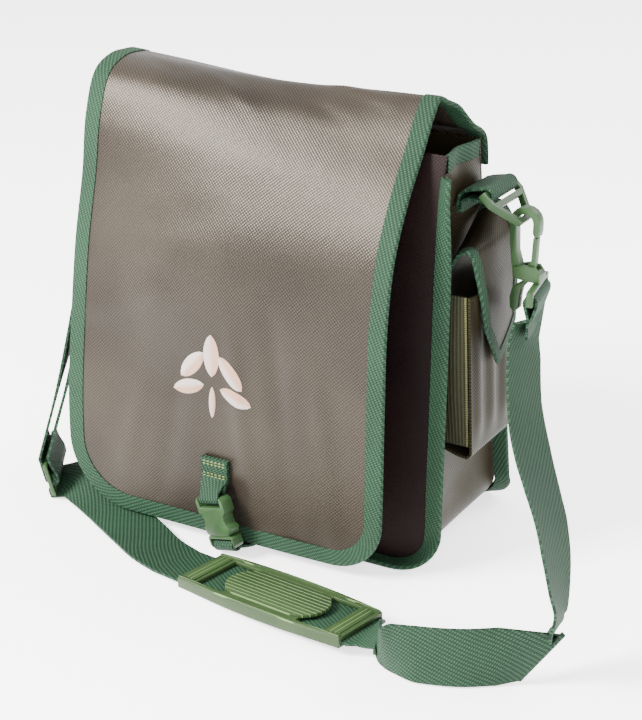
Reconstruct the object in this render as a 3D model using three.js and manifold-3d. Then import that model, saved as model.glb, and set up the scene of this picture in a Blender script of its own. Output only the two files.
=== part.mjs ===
// A small canvas shoulder bag with a long front flap, a side pocket for a phone and a webbing strap.
// Millimetres, +Z up. The origin is the middle of the base, and the front faces -Y.
import * as THREE from 'three';
import Module from 'manifold-3d';
import { mergeVertices } from 'three/addons/utils/BufferGeometryUtils.js';

// Bag body
const bag_width = 250;
const bag_height = 276;
const base_depth = 118;
const top_depth = 50;
const top_lean = 13;
const lean_from = 0.7;
const corner_radius = 24;
const cloth = 2;
const panel_swell = 5;
const gusset_tuck = 9;
const clearance = 0.3;

// Seam binding and the binding of the gusset's top edge
const binding_width = 11;
const binding_thickness = 3.4;
const top_tape_height = 11;
const top_tape_thickness = 3;
const front_top_tilt = 45;
const back_top_tilt = 60;
const back_tape_share = 0.88;

// Flap
const flap_width = 240;
const flap_shift = -8;
const flap_reach = 36;
const flap_rise = 30;
const hem_height = 7;
const flap_wave = 5;
const flap_corner_left = 48;
const flap_corner_right = 36;
const flap_tape_width = 12;
const flap_flare = 16;

// Closure
const closure_width = 20;
const closure_thickness = 1.6;
const tab_height = 65;
const tab_offset = -1;
const buckle_width = 28;
const buckle_thickness = 9;
const buckle_length = 26.5;
const male_length = 9;
const buckle_height = 41;
const buckle_gap = 6.5;
const buckle_tilt = 20;
const buckle_yaw = -18;
const bar_height = 2.6;
const bar_thickness = 3.4;
const slot_height = 4;
const buckle_waist = 3.2;
const closure_play = 1.2;

// Side pocket
const pocket_width = 62;
const pocket_depth = 20;
const pocket_bottom = 84;
const pocket_height = 106;
const pocket_lean = 0.12;
const pocket_middle = -8;
const lid_width = 64;
const lid_tape_width = 8;
const lid_tip_drop = 26;
const lid_belly = 1;

// Strap
const strap_width = 38;
const strap_thickness = 1.8;
const fold_gap = 0.8;
const strap_play = 0.8;

// Shoulder pad
const pad_length = 134;
const pad_width = 50;
const pad_end_width = 42;
const pad_thickness = 7;
const pad_window = 22;
const pad_window_share = 0.31;
const pad_tilt = 2.8;

// Strap fittings
const loop_stand_off = 20;
const left_stand_off = 11;
const left_ring_tilt = 8;
const loop_drop = 26;
const loop_tail = 13.5;
const loop_middle = -11;
const fitting_thickness = 4.5;
const ring_bar = 4;
const ring_length = 27;
const ring_slot_depth = 5.2;
const ring_taper = 0.6;
const ring_apex_width = 20;
const ring_tilt = 43;
const side_ring_length = 30;
const hook_thickness = 7;
const hook_height = 41;
const curl_outer = 10;
const curl_inner = 5.6;
const tip_length = 8.5;
const pivot_a = 5;
const cheek_thickness = 2;
const ring_seat = 1.2;
const gate_width = 2.8;
const gate_gap = 0.5;
const swivel_height = 10;
const swivel_bar_height = 3;
const swivel_side = 3.2;
const swivel_drop = 6.8;
const swivel_out_by = 4.4;
const swivel_turn = 10;
const slider_length = 26;
const slider_thickness = 3;
const slider_bar = 3;
const slider_side = 2.6;
const slider_stand = 20.8;

const half_width = bag_width / 2;
const front_y = -base_depth / 2;
const flap_front = front_y - flap_reach;
const radians = Math.PI / 180;
const vec = (x, y, z) => new THREE.Vector3(x, y, z);

// Outer face of the sloping back at a height.
function back_y(z) {
  return base_depth / 2 - (base_depth - top_lean - top_depth) * (z / bag_height);
}

// Outer face of the front at a height: upright, then leaning back towards the top.
function front_face(z) {
  const up = Math.max(0, (z / bag_height - lean_from) / (1 - lean_from));
  return front_y + top_lean * up ** 2;
}

// Finishes
const finishes = {
  flap_cloth: { color: 0x77706a, roughness: 0.6, metalness: 0 },
  dark_cloth: { color: 0x3a2d2c, roughness: 0.75, metalness: 0 },
  gusset_cloth: { color: 0x6a6150, roughness: 0.7, metalness: 0 },
  binding: { color: 0x4f8060, roughness: 0.8, metalness: 0 },
  webbing: { color: 0x4c7a58, roughness: 0.8, metalness: 0 },
  ribbed_band: { color: 0x57533c, roughness: 0.8, metalness: 0 },
  plastic: { color: 0x7f9a76, roughness: 0.45, metalness: 0 },
  pad_plastic: { color: 0x66804e, roughness: 0.6, metalness: 0 },
};

const bag = new THREE.Group();

function add(name, geometry, finish) {
  const mesh = new THREE.Mesh(geometry, new THREE.MeshStandardMaterial(finishes[finish]));
  mesh.name = name;
  bag.add(mesh);
  return mesh;
}

// A closed body through rows of section points. Each row has the points of its front face and,
// in the same order, the points of its back face.
function loft(rows) {
  const count = rows[0].front.length;
  const around = 2 * count;
  const positions = [];
  for (const { front, back } of rows) {
    for (const p of [...front, ...back.slice().reverse()]) positions.push(p.x, p.y, p.z);
  }
  const index = [];
  const quad = (a, b, c, d) => index.push(a, b, c, a, c, d);
  for (let row = 0; row < rows.length - 1; row++) {
    const here = row * around;
    const next = here + around;
    for (let i = 0; i < around; i++) {
      const j = (i + 1) % around;
      quad(here + i, here + j, next + j, next + i);
    }
  }
  const end = (rows.length - 1) * around;
  for (let i = 0; i < count - 1; i++) {
    const mate = around - 1 - i;
    quad(i + 1, i, mate, mate - 1);
    quad(end + i, end + i + 1, end + mate - 1, end + mate);
  }
  return facing_out(positions, index);
}

function facing_out(positions, index) {
  const corner = (i) => vec(positions[3 * i], positions[3 * i + 1], positions[3 * i + 2]);
  let volume = 0;
  for (let i = 0; i < index.length; i += 3) {
    const [a, b, c] = [corner(index[i]), corner(index[i + 1]), corner(index[i + 2])];
    volume += a.dot(b.cross(c));
  }
  if (volume < 0) {
    for (let i = 0; i < index.length; i += 3) {
      [index[i + 1], index[i + 2]] = [index[i + 2], index[i + 1]];
    }
  }
  const geometry = new THREE.BufferGeometry();
  geometry.setAttribute('position', new THREE.Float32BufferAttribute(positions, 3));
  geometry.setIndex(index);
  geometry.computeVertexNormals();
  return geometry;
}

const shares = (steps) => Array.from({ length: steps + 1 }, (_, i) => i / steps);

function smooth_step(t) {
  const s = Math.min(1, Math.max(0, t));
  return s * s * (3 - 2 * s);
}

// The way that a surface faces, from points a little to each side.
function facing(surface, u, v, du, dv) {
  const along = surface(u + du, v).sub(surface(u - du, v));
  const down = surface(u, v + dv).sub(surface(u, v - dv));
  return along.cross(down).normalize();
}

// A sheet of cloth: place(i, j) gives the surface's own coordinates for shares across and down.
function sheet(surface, place, columns, rows, thickness, step) {
  return loft(shares(rows).map((j) => {
    const row = { front: [], back: [] };
    for (const i of shares(columns)) {
      const [u, v] = place(i, j);
      const middle = surface(u, v);
      const out = facing(surface, u, v, step, step).multiplyScalar(thickness / 2);
      row.front.push(middle.clone().add(out));
      row.back.push(middle.clone().sub(out));
    }
    return row;
  }));
}

// A tape folded over the edge of a surface. The path holds points of the edge in the surface's own
// coordinates, with the way towards the cloth; the outer edge is rounded.
function edge_tape(surface, path, width, thickness, step) {
  const insets = [[0, 0.5], [thickness / 4, 1], [width, 1]];
  return loft(path.map(({ u, v, in_u, in_v }) => {
    const row = { front: [], back: [] };
    for (const [inset, share] of insets) {
      const [a, b] = [u + in_u * inset, v + in_v * inset];
      const middle = surface(a, b);
      const out = facing(surface, a, b, step, step).multiplyScalar((thickness / 2) * share);
      row.front.push(middle.clone().add(out));
      row.back.push(middle.clone().sub(out));
    }
    return row;
  }));
}

// A flat strip of webbing through sections, each with its middle and the way across it.
function strip(sections, width, thickness) {
  const rows = sections.map((section, i) => {
    const before = sections[Math.max(0, i - 1)].at;
    const after = sections[Math.min(sections.length - 1, i + 1)].at;
    const across = section.across.clone().multiplyScalar((width / 2) * (section.spread ?? 1));
    const out = after.clone().sub(before).cross(section.across).normalize();
    out.multiplyScalar(thickness / 2);
    const left = section.at.clone().sub(across);
    const right = section.at.clone().add(across);
    return {
      front: [left.clone().add(out), right.clone().add(out)],
      back: [left.clone().sub(out), right.clone().sub(out)],
    };
  });
  return loft(rows);
}

// A plate of an outline with holes, centred on its thickness.
function plate(outline, holes, thickness) {
  const shape = new THREE.Shape(outline.map(([a, b]) => new THREE.Vector2(a, b)));
  for (const hole of holes) {
    shape.holes.push(new THREE.Path(hole.map(([a, b]) => new THREE.Vector2(a, b))));
  }
  const geometry = new THREE.ExtrudeGeometry(shape, { depth: thickness, bevelEnabled: false, curveSegments: 6 });
  geometry.translate(0, 0, -thickness / 2);
  return geometry;
}

// Places a plate so that its own first, second and thickness ways point as given.
function place(mesh, at, first, second) {
  const third = first.clone().cross(second);
  mesh.quaternion.setFromRotationMatrix(new THREE.Matrix4().makeBasis(first, second, third));
  mesh.position.copy(at);
}

function arc(centre_a, centre_b, radius, from, to, steps) {
  return shares(steps).map((t) => {
    const angle = (from + (to - from) * t) * radians;
    return [centre_a + radius * Math.cos(angle), centre_b + radius * Math.sin(angle)];
  });
}

const wasm = await Module();
wasm.setup();

function solid(geometry) {
  const bare = geometry.clone();
  bare.deleteAttribute('normal');
  bare.deleteAttribute('uv');
  const merged = mergeVertices(bare, 1e-4);
  const vertProperties = Float32Array.from(merged.attributes.position.array);
  return new wasm.Manifold(new wasm.Mesh({ numProp: 3, vertProperties, triVerts: Uint32Array.from(merged.index.array) }));
}

function from_solid(body) {
  const { vertProperties, triVerts } = body.getMesh();
  const geometry = new THREE.BufferGeometry();
  geometry.setAttribute('position', new THREE.BufferAttribute(Float32Array.from(vertProperties), 3));
  geometry.setIndex(Array.from(triVerts));
  geometry.computeVertexNormals();
  return geometry;
}

function cut(body, tools) {
  return from_solid(tools.reduce((left, tool) => left.subtract(solid(tool)), solid(body)));
}

function join(parts) {
  return from_solid(parts.map(solid).reduce((whole, part) => whole.add(part)));
}

// A box between two corners, in the plate's own ways.
function block(low, high) {
  const size = high.map((value, i) => value - low[i]);
  const middle = high.map((value, i) => (value + low[i]) / 2);
  return new THREE.BoxGeometry(...size).translate(...middle);
}

// The outline that both panels and the gusset share: down the left side, along the base and up the
// right side. turn is 0 on the sides and 90 degrees on the base.
function seam_outline(top, side_steps, corner_steps, base_steps) {
  const left = [];
  const straight = top - corner_radius;
  for (const t of shares(side_steps)) {
    left.push({ x: -half_width, z: top - straight * t, turn: 0 });
  }
  for (const t of shares(corner_steps).slice(1)) {
    const turn = 90 * radians * t;
    left.push({
      x: -half_width + corner_radius * (1 - Math.cos(turn)),
      z: corner_radius * (1 - Math.sin(turn)),
      turn,
    });
  }
  const right = left.map(({ x, z, turn }) => ({ x: -x, z, turn })).reverse();
  const run = half_width - corner_radius;
  const base = shares(base_steps).slice(1, -1).map((t) => ({ x: run * (2 * t - 1), z: 0, turn: Math.PI / 2 }));
  return [...left, ...base, ...right];
}

// Front and back panels: flat cloth with rounded lower corners and a slight swell.
function panel_half(z) {
  const low = Math.max(0, corner_radius - z);
  return half_width - corner_radius + Math.sqrt(corner_radius ** 2 - low ** 2);
}

function panel(outer_y, outwards) {
  const corner_shares = shares(4).map((t) => (corner_radius * (1 - Math.cos(90 * radians * t))) / bag_height);
  const straight = shares(14).slice(1).map((t) => {
    const low = corner_radius / bag_height;
    return low + (1 - low) * t;
  });
  return loft([...corner_shares, ...straight].map((up) => {
    const z = bag_height * up;
    const row = { front: [], back: [] };
    for (const i of shares(10)) {
      const swell = panel_swell * Math.sin(Math.PI * i) ** 1.2 * Math.sin(Math.PI * Math.min(1, up)) ** 1.5;
      const y = outer_y(z) + outwards * swell;
      const x = panel_half(z) * (2 * i - 1);
      row.front.push(vec(x, y, z));
      row.back.push(vec(x, y - outwards * cloth, z));
    }
    return row;
  }));
}

add('front_panel', panel(front_face, -1), 'dark_cloth');
add('back_panel', panel(back_y, 1), 'gusset_cloth');

// Folds of the gusset: across is a share of its depth from the front, up a share of the height,
// wide and tall the fold's size in the same shares, lean its slant, in a share of gusset_tuck.
const gusset_folds = [
  { across: 0.36, up: 0.8, wide: 0.2, tall: 0.07, lean: 2.2, depth: 1 },
  { across: 0.45, up: 0.98, wide: 0.3, tall: 0.08, lean: 0, depth: 0.35 },
  { across: 0.55, up: 0.14, wide: 0.32, tall: 0.07, lean: -1, depth: 0.5 },
];

function gusset_inset(across, z) {
  const up = z / bag_height;
  const held = Math.sin(Math.PI * Math.min(1, Math.max(0, across))) ** 0.8;
  let inset = 0;
  for (const fold of gusset_folds) {
    const a = (across - fold.across - fold.lean * (up - fold.up)) / fold.wide;
    const b = (up - fold.up) / fold.tall;
    inset += fold.depth * Math.exp(-(a ** 2) - b ** 2);
  }
  return gusset_tuck * held * inset;
}

// Where the gusset's cloth lies between the panels: across is a share of the depth from the front.
function gusset_y(across, z) {
  const inset = cloth + clearance;
  const front = front_face(z) + inset;
  return front + across * (back_y(z) - inset - front);
}

// A point of the gusset's middle surface on one side.
function gusset_side(side, across, z) {
  return vec(side * (half_width - cloth / 2 - gusset_inset(across, z)), gusset_y(across, z), z);
}

// Gusset: one strip of cloth down the left side, under the base and up the right side.
const gusset_top = bag_height - top_tape_height - clearance;
const gusset_rows = seam_outline(gusset_top, 14, 4, 5).map(({ x, z, turn }) => {
  const row = { front: [], back: [] };
  const side = Math.sign(x) || 1;
  const [in_x, in_z] = [-side * Math.cos(turn), Math.sin(turn)];
  for (const across of shares(6)) {
    const tuck = gusset_inset(across, z) * Math.cos(turn);
    const at = (depth) => {
      const own_z = z + in_z * depth;
      return vec(x + in_x * depth, gusset_y(across, own_z), own_z);
    };
    row.front.push(at(tuck));
    row.back.push(at(tuck + cloth));
  }
  return row;
});
add('gusset', loft(gusset_rows), 'gusset_cloth');

// Tape round the top edge of the gusset, on each side.
for (const [name, side] of [['gusset_top_binding_left', -1], ['gusset_top_binding_right', 1]]) {
  const surface = (v, u) => gusset_side(side, u, v);
  const rows = shares(8).map((across) => {
    const row = { front: [], back: [] };
    for (const [drop, share] of [[0, 0.5], [top_tape_thickness / 4, 1], [top_tape_height, 1]]) {
      const middle = surface(bag_height - drop, across);
      const out = vec(side * (top_tape_thickness / 2) * share, 0, 0);
      row.front.push(middle.clone().add(out));
      row.back.push(middle.clone().sub(out));
    }
    return row;
  });
  add(name, loft(rows), 'binding');
}

// Seam binding: tape round the seam of a panel and the gusset. It stands out sideways along the
// sides and lies flat, away from the bag, along the base; towards the top it turns by top_tilt.
function seam_binding(outer_y, outwards, top_tilt, top) {
  const upper = bag_height * lean_from;
  return loft(seam_outline(top, 12, 6, 4).map(({ x, z, turn }) => {
    const lay = (90 * Math.sin(turn) + top_tilt * smooth_step((z - upper) / (top - upper))) * radians;
    const side = Math.sign(x) || 1;
    const outline_way = vec(side * Math.cos(turn), 0, -Math.sin(turn));
    const way = outline_way.clone().multiplyScalar(Math.cos(lay)).add(vec(0, outwards * Math.sin(lay), 0));
    const across = outline_way.clone().multiplyScalar(-Math.sin(lay)).add(vec(0, outwards * Math.cos(lay), 0));
    const seam = vec(x, outer_y(z) - (outwards * cloth) / 2, z);
    seam.addScaledVector(outline_way, -Math.sin(lay) * (binding_thickness / 2));
    const start = 2 * clearance + Math.sin(lay) * (cloth + binding_thickness * Math.cos(lay)) / 2;
    const row = { front: [], back: [] };
    for (const [reach, share] of [[0, 1], [binding_width - binding_thickness / 4, 1], [binding_width, 0.5]]) {
      const middle = seam.clone().addScaledVector(way, start + reach);
      row.front.push(middle.clone().addScaledVector(across, (binding_thickness / 2) * share));
      row.back.push(middle.clone().addScaledVector(across, (-binding_thickness / 2) * share));
    }
    return row;
  }));
}

add('front_binding', seam_binding(front_face, -1, front_top_tilt, gusset_top - clearance), 'binding');
add('back_binding', seam_binding(back_y, 1, back_top_tilt, gusset_top * back_tape_share), 'binding');

// Flap: one cloth, sewn to the outside of the back near its top, over the ridge and down the
// front. The table gives its two side edges: forward is a share of the way from the back's top to
// the hem, up a share of the height from the hem to the ridge, and flare how much further out the
// right edge lies, in a share of flap_flare.
const flap_profile = [
  { left_forward: -0.08, left_up: 0.839, right_forward: -0.08, right_up: 0.839, flare: 1 },
  { left_forward: -0.069, left_up: 0.87, right_forward: -0.069, right_up: 0.87, flare: 1 },
  { left_forward: -0.048, left_up: 0.903, right_forward: -0.048, right_up: 0.903, flare: 0.97 },
  { left_forward: -0.015, left_up: 0.92, right_forward: 0, right_up: 0.918, flare: 0.9 },
  { left_forward: 0, left_up: 0.943, right_forward: 0.071, right_up: 0.931, flare: 0.81 },
  { left_forward: 0.01, left_up: 0.963, right_forward: 0.115, right_up: 0.954, flare: 0.56 },
  { left_forward: 0.055, left_up: 0.986, right_forward: 0.158, right_up: 0.974, flare: 0.37 },
  { left_forward: 0.13, left_up: 1, right_forward: 0.24, right_up: 0.989, flare: 0.12 },
  { left_forward: 0.25, left_up: 1.004, right_forward: 0.31, right_up: 1, flare: 0 },
  { left_forward: 0.4, left_up: 1.004, right_forward: 0.42, right_up: 0.968, flare: 0 },
  { left_forward: 0.58, left_up: 0.98, right_forward: 0.56, right_up: 0.9, flare: 0 },
  { left_forward: 0.7, left_up: 0.892, right_forward: 0.75, right_up: 0.815, flare: 0 },
  { left_forward: 0.76, left_up: 0.767, right_forward: 0.92, right_up: 0.705, flare: 0 },
  { left_forward: 0.87, left_up: 0.615, right_forward: 0.995, right_up: 0.573, flare: 0 },
  { left_forward: 0.95, left_up: 0.446, right_forward: 1.005, right_up: 0.413, flare: 0 },
  { left_forward: 1.02, left_up: 0.246, right_forward: 1, right_up: 0.23, flare: 0 },
  { left_forward: 1, left_up: 0, right_forward: 1, right_up: 0, flare: 0 },
];

// Waves of the flap: across and down are shares of its width and length, out a share of flap_wave.
const flap_waves = [
  { across: 0.5, down: 0.16, wide: 0.32, tall: 0.09, out: -0.9 },
  { across: 0.42, down: 0.53, wide: 0.3, tall: 0.2, out: 1 },
  { across: 0.2, down: 0.735, wide: 0.16, tall: 0.16, out: -0.5 },
  { across: 0.7, down: 0.81, wide: 0.16, tall: 0.2, out: 0.5 },
];

const hinge_y = back_y(bag_height) - cloth / 2;
const ridge_height = bag_height + flap_rise;

function flap_edge(side, x) {
  const points = flap_profile.map((row) => {
    const forward = row[`${side}_forward`];
    const up = row[`${side}_up`];
    const own_x = side === 'right' ? x + flap_flare * row.flare : x;
    return vec(own_x, hinge_y + (flap_front - hinge_y) * forward, hem_height + (ridge_height - hem_height) * up);
  });
  return new THREE.CatmullRomCurve3(points, false, 'centripetal');
}

const flap_left = flap_edge('left', flap_shift - flap_width / 2);
const flap_right = flap_edge('right', flap_shift + flap_width / 2);
const flap_length = (flap_left.getLength() + flap_right.getLength()) / 2;

// The flap's surface at u across from its middle and v down from its sewn edge, in millimetres.
function flap_surface(u, v) {
  const across = u / flap_width + 0.5;
  const down = Math.min(1, Math.max(0, v / flap_length));
  const left = flap_left.getPointAt(down);
  const right = flap_right.getPointAt(down);
  const middle = left.clone().lerp(right, across);
  const run = flap_left.getTangentAt(down).lerp(flap_right.getTangentAt(down), across);
  const out = run.cross(vec(1, 0, 0)).normalize();
  let wave = 0;
  for (const row of flap_waves) {
    const a = (across - row.across) / row.wide;
    const b = (down - row.down) / row.tall;
    wave += row.out * Math.exp(-(a ** 2) - b ** 2);
  }
  const edge = 1 - Math.abs(2 * across - 1) ** 4;
  middle.addScaledVector(out, flap_wave * wave * Math.max(0, edge));
  return middle;
}

// Half the flap's width to one side, at v down, when its edge is drawn in by an inset.
function flap_side(side, v, inset) {
  const radius = side < 0 ? flap_corner_left : flap_corner_right;
  const low = Math.max(0, v - (flap_length - radius));
  const inner = radius - inset;
  return side * (flap_width / 2 - radius + Math.sqrt(Math.max(0, inner ** 2 - low ** 2)));
}

const flap_inset = flap_tape_width + clearance;
const flap_bend = Math.max(flap_corner_left, flap_corner_right);
const flap_straight = flap_length - flap_bend;
const flap_stations = [
  ...shares(20).map((t) => flap_straight * t),
  ...shares(5).slice(1).map((t) => flap_straight + (flap_bend - flap_inset) * Math.sin(90 * radians * t)),
];

function flap_place(i, j) {
  const v = flap_stations[Math.round(j * (flap_stations.length - 1))];
  const left = flap_side(-1, v, flap_inset);
  const right = flap_side(1, v, flap_inset);
  return [left + (right - left) * i, v];
}

add('flap', sheet(flap_surface, flap_place, 12, flap_stations.length - 1, cloth, 1), 'flap_cloth');

// Flap binding: down one side, round both lower corners and up the other.
function flap_border() {
  const half = flap_width / 2;
  const path = [];
  for (const t of shares(20)) {
    path.push({ u: -half, v: (flap_length - flap_corner_left) * t, in_u: 1, in_v: 0 });
  }
  for (const t of shares(5).slice(1)) {
    const [c, s] = [Math.cos(90 * radians * t), Math.sin(90 * radians * t)];
    const u = -half + flap_corner_left * (1 - c);
    path.push({ u, v: flap_length - flap_corner_left * (1 - s), in_u: c, in_v: -s });
  }
  const run = flap_width - flap_corner_left - flap_corner_right;
  for (const t of shares(6).slice(1)) {
    path.push({ u: -half + flap_corner_left + run * t, v: flap_length, in_u: 0, in_v: -1 });
  }
  for (const t of shares(5).slice(1)) {
    const [s, c] = [Math.sin(90 * radians * t), Math.cos(90 * radians * t)];
    const v = flap_length - flap_corner_right * (1 - c);
    path.push({ u: half - flap_corner_right * (1 - s), v, in_u: -s, in_v: -c });
  }
  for (const t of shares(20).slice(1)) {
    path.push({ u: half, v: (flap_length - flap_corner_right) * (1 - t), in_u: -1, in_v: 0 });
  }
  return path;
}

add('flap_binding', edge_tape(flap_surface, flap_border(), flap_tape_width, binding_thickness, 1), 'binding');

// Closure buckle: its mouth points down; first way is across it, second way is up its length.
const down_tilt = buckle_tilt * radians;
const turn_yaw = buckle_yaw * radians;
const buckle_up = vec(-Math.sin(down_tilt), 0, Math.cos(down_tilt));
const buckle_face = vec(Math.sin(turn_yaw), -Math.cos(turn_yaw), 0);
const buckle_across = buckle_up.clone().cross(buckle_face).normalize();
buckle_face.copy(buckle_across).cross(buckle_up);
const hem_front = flap_front - binding_thickness / 2;
const buckle_y = hem_front - buckle_thickness / 2 - buckle_gap;
const tab_x = flap_shift + tab_offset;
const buckle_top = vec(tab_x + 2, buckle_y, buckle_height);
const along_buckle = (distance) => buckle_top.clone().addScaledVector(buckle_up, distance);

const buckle_half = buckle_width / 2;
const waist = buckle_half - buckle_waist;
const female_outline = [
  [-waist, -buckle_length],
  [waist, -buckle_length],
  [buckle_half - 0.6, -buckle_length * 0.82],
  [waist, -buckle_length * 0.72],
  [waist - 0.6, -buckle_length * 0.6],
  [waist, -buckle_length * 0.48],
  [buckle_half, -buckle_length * 0.38],
  [buckle_half, -buckle_length * 0.1],
  [buckle_half - 2, 0],
  [-buckle_half + 2, 0],
  [-buckle_half, -buckle_length * 0.1],
  [-buckle_half, -buckle_length * 0.38],
  [-waist, -buckle_length * 0.48],
  [-waist + 0.6, -buckle_length * 0.6],
  [-waist, -buckle_length * 0.72],
  [-buckle_half + 0.6, -buckle_length * 0.82],
];
const slot_half = closure_width / 2 + closure_play;
const rectangle = (low_a, low_b, high_a, high_b) => [[low_a, low_b], [high_a, low_b], [high_a, high_b], [low_a, high_b]];
const female_slot = rectangle(-slot_half, -bar_height - slot_height, slot_half, -bar_height);
// Thins a buckle's bar from both faces between two heights, where the webbing goes round it.
function thin_bar(body, low, high) {
  const faces = [-1, 1].map((side) => {
    const [near, far] = [side * bar_thickness / 2, side * buckle_thickness];
    return block([-slot_half, low, Math.min(near, far)], [slot_half, high, Math.max(near, far)]);
  });
  return cut(body, faces);
}

const female_body = plate(female_outline, [female_slot], buckle_thickness);
const female = add('buckle_female', thin_bar(female_body, -bar_height - slot_height, 1), 'plastic');
place(female, buckle_top, buckle_across, buckle_up);

const male_half = buckle_half - 1;
const male_top = -buckle_length - clearance;
const male_bottom = male_top - male_length;
const male_outline = [
  [-male_half + 2, male_bottom],
  [male_half - 2, male_bottom],
  [male_half, male_bottom + male_length / 4],
  [male_half, male_bottom + male_length * 0.85],
  [waist - 0.5, male_top],
  [-waist + 0.5, male_top],
  [-male_half, male_bottom + male_length * 0.85],
  [-male_half, male_bottom + male_length / 4],
];
const male_slot = rectangle(-slot_half, male_bottom + bar_height, slot_half, male_bottom + bar_height + slot_height);
const male_body = plate(male_outline, [male_slot], buckle_thickness - 1);
const male_slot_top = male_bottom + bar_height + slot_height;
const male = add('buckle_male', thin_bar(male_body, male_bottom - 1, male_slot_top), 'plastic');
place(male, buckle_top, buckle_across, buckle_up);

// The middle line of a strap that is wrapped round a flat bar, for sections 30 degrees apart.
function wrap_radius(bar_width, thickness, ply) {
  const corner = Math.hypot(bar_width, thickness) / 2;
  return (corner + ply / 2 + clearance) / Math.cos(15 * radians);
}

// Closure tab: webbing sewn to the flap, round the buckle's top bar and back.
const wrap = wrap_radius(bar_height, bar_thickness, closure_thickness);
const level = vec(1, 0, 0);
const around = (bar, degrees) => {
  const at = bar.clone().addScaledVector(buckle_face, wrap * Math.cos(degrees * radians));
  return at.addScaledVector(buckle_up, wrap * Math.sin(degrees * radians));
};
const top_bar = along_buckle(-bar_height / 2);

// A point over the flap, at a height, with a number of plies of webbing under it.
function on_flap(z, plies) {
  const v = flap_length - (z - hem_height);
  const lift = cloth / 2 + closure_thickness / 2 + clearance + (clearance + closure_thickness) * plies;
  const surface = flap_surface(tab_x - flap_shift, v);
  return vec(tab_x, surface.y - lift - clearance, surface.z);
}

const tab_length = tab_height - buckle_height;
const tab_free = buckle_height + tab_length * 0.4;
const half_turned = level.clone().lerp(buckle_across, 0.5).normalize();
const tab_heights = [tab_height, (tab_height + tab_free) / 2, tab_free];
const tab_sections = [
  ...tab_heights.map((z) => ({ at: on_flap(z, 1), across: level })),
  { at: on_flap(tab_free, 1).lerp(around(top_bar, 40), 0.35), across: half_turned },
  { at: on_flap(tab_free, 1).lerp(around(top_bar, 40), 0.75), across: buckle_across },
  ...[10, -20, -50, -80, -110, -140, -170].map((a) => ({ at: around(top_bar, a), across: buckle_across })),
  { at: on_flap(tab_free, 0).lerp(around(top_bar, 150), 0.75), across: buckle_across },
  { at: on_flap(tab_free, 0).lerp(around(top_bar, 150), 0.35), across: half_turned },
  ...tab_heights.reverse().map((z) => ({ at: on_flap(z, 0), across: level })),
];
add('closure_tab', strip(tab_sections, closure_width, closure_thickness), 'webbing');

// Lower webbing: from the front panel, under the hem, round the lower bar of the buckle's male half.
const male_bar = along_buckle(male_bottom + bar_height / 2);
const lower_rows = [
  { forward: 0.06, up: 0.83 },
  { forward: 0.06, up: 0.39 },
  { forward: 0.14, up: 0.19 },
  { forward: 0.38, up: 0.1 },
  { forward: 0.75, up: 0.06 },
];
const lower_sections = lower_rows.map(({ forward, up }) => ({
  at: vec(male_bar.x, front_y - cloth - flap_reach * forward, buckle_height * up),
  across: level,
}));
for (const a of [230, 260, 290, 320, 350, 380, 410, 440]) {
  lower_sections.push({ at: around(male_bar, a), across: buckle_across });
}
add('buckle_webbing', strip(lower_sections, closure_width, closure_thickness), 'webbing');

// Side pocket on the right of the gusset: two ribbed bands, a front and a base in one pouch of
// walls, open at the top and against the gusset.
const pocket_wall = half_width + clearance;
const pocket_front_x = pocket_wall + pocket_depth;
function pocket_y(share, z) {
  const lean = pocket_lean * (z - pocket_bottom);
  return pocket_middle + pocket_width * (share - 0.5) - lean;
}

function pocket_side_band(share, name) {
  const inwards = share < 0.5 ? 1 : -1;
  const rows = shares(6).map((t) => {
    const z = pocket_bottom + pocket_height * t;
    const row = { front: [], back: [] };
    for (const out of shares(4)) {
      const belly = 3 * Math.sin(Math.PI * t) * Math.sin(Math.PI * out);
      const x = pocket_wall + (pocket_depth - 3 * clearance) * out;
      const y = pocket_y(share, z) - inwards * belly;
      row.front.push(vec(x, y, z));
      row.back.push(vec(x, y + inwards * cloth, z));
    }
    return row;
  });
  add(name, loft(rows), 'ribbed_band');
}

pocket_side_band(0, 'pocket_band_front');
pocket_side_band(1, 'pocket_band_rear');

// Pocket front: cloth with shallow pleats, its lower part turned in as the pocket's base.
const pleat = 2;
const pocket_rows = [];
const inner_base = pocket_wall;
for (const t of shares(3)) {
  const x = inner_base + pocket_depth * t * 0.98;
  pocket_rows.push({ x, z: pocket_bottom - cloth - clearance - 5 * Math.sin(Math.PI * t * 0.5), base: true });
}
for (const t of shares(7).slice(1)) pocket_rows.push({ x: pocket_front_x, z: pocket_bottom + pocket_height * t, base: false });

add('pocket_front', loft(pocket_rows.map(({ x, z, base }) => {
  const row = { front: [], back: [] };
  for (const i of shares(12)) {
    const wave = base ? 0 : pleat * (0.5 - 0.5 * Math.cos(6 * Math.PI * i));
    const y = pocket_y(i, z);
    if (base) {
      row.front.push(vec(x, y, z - cloth));
      row.back.push(vec(x, y, z));
    } else {
      row.front.push(vec(x + cloth + wave, y, z));
      row.back.push(vec(x + wave, y, z));
    }
  }
  return row;
})), 'gusset_cloth');

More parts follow.
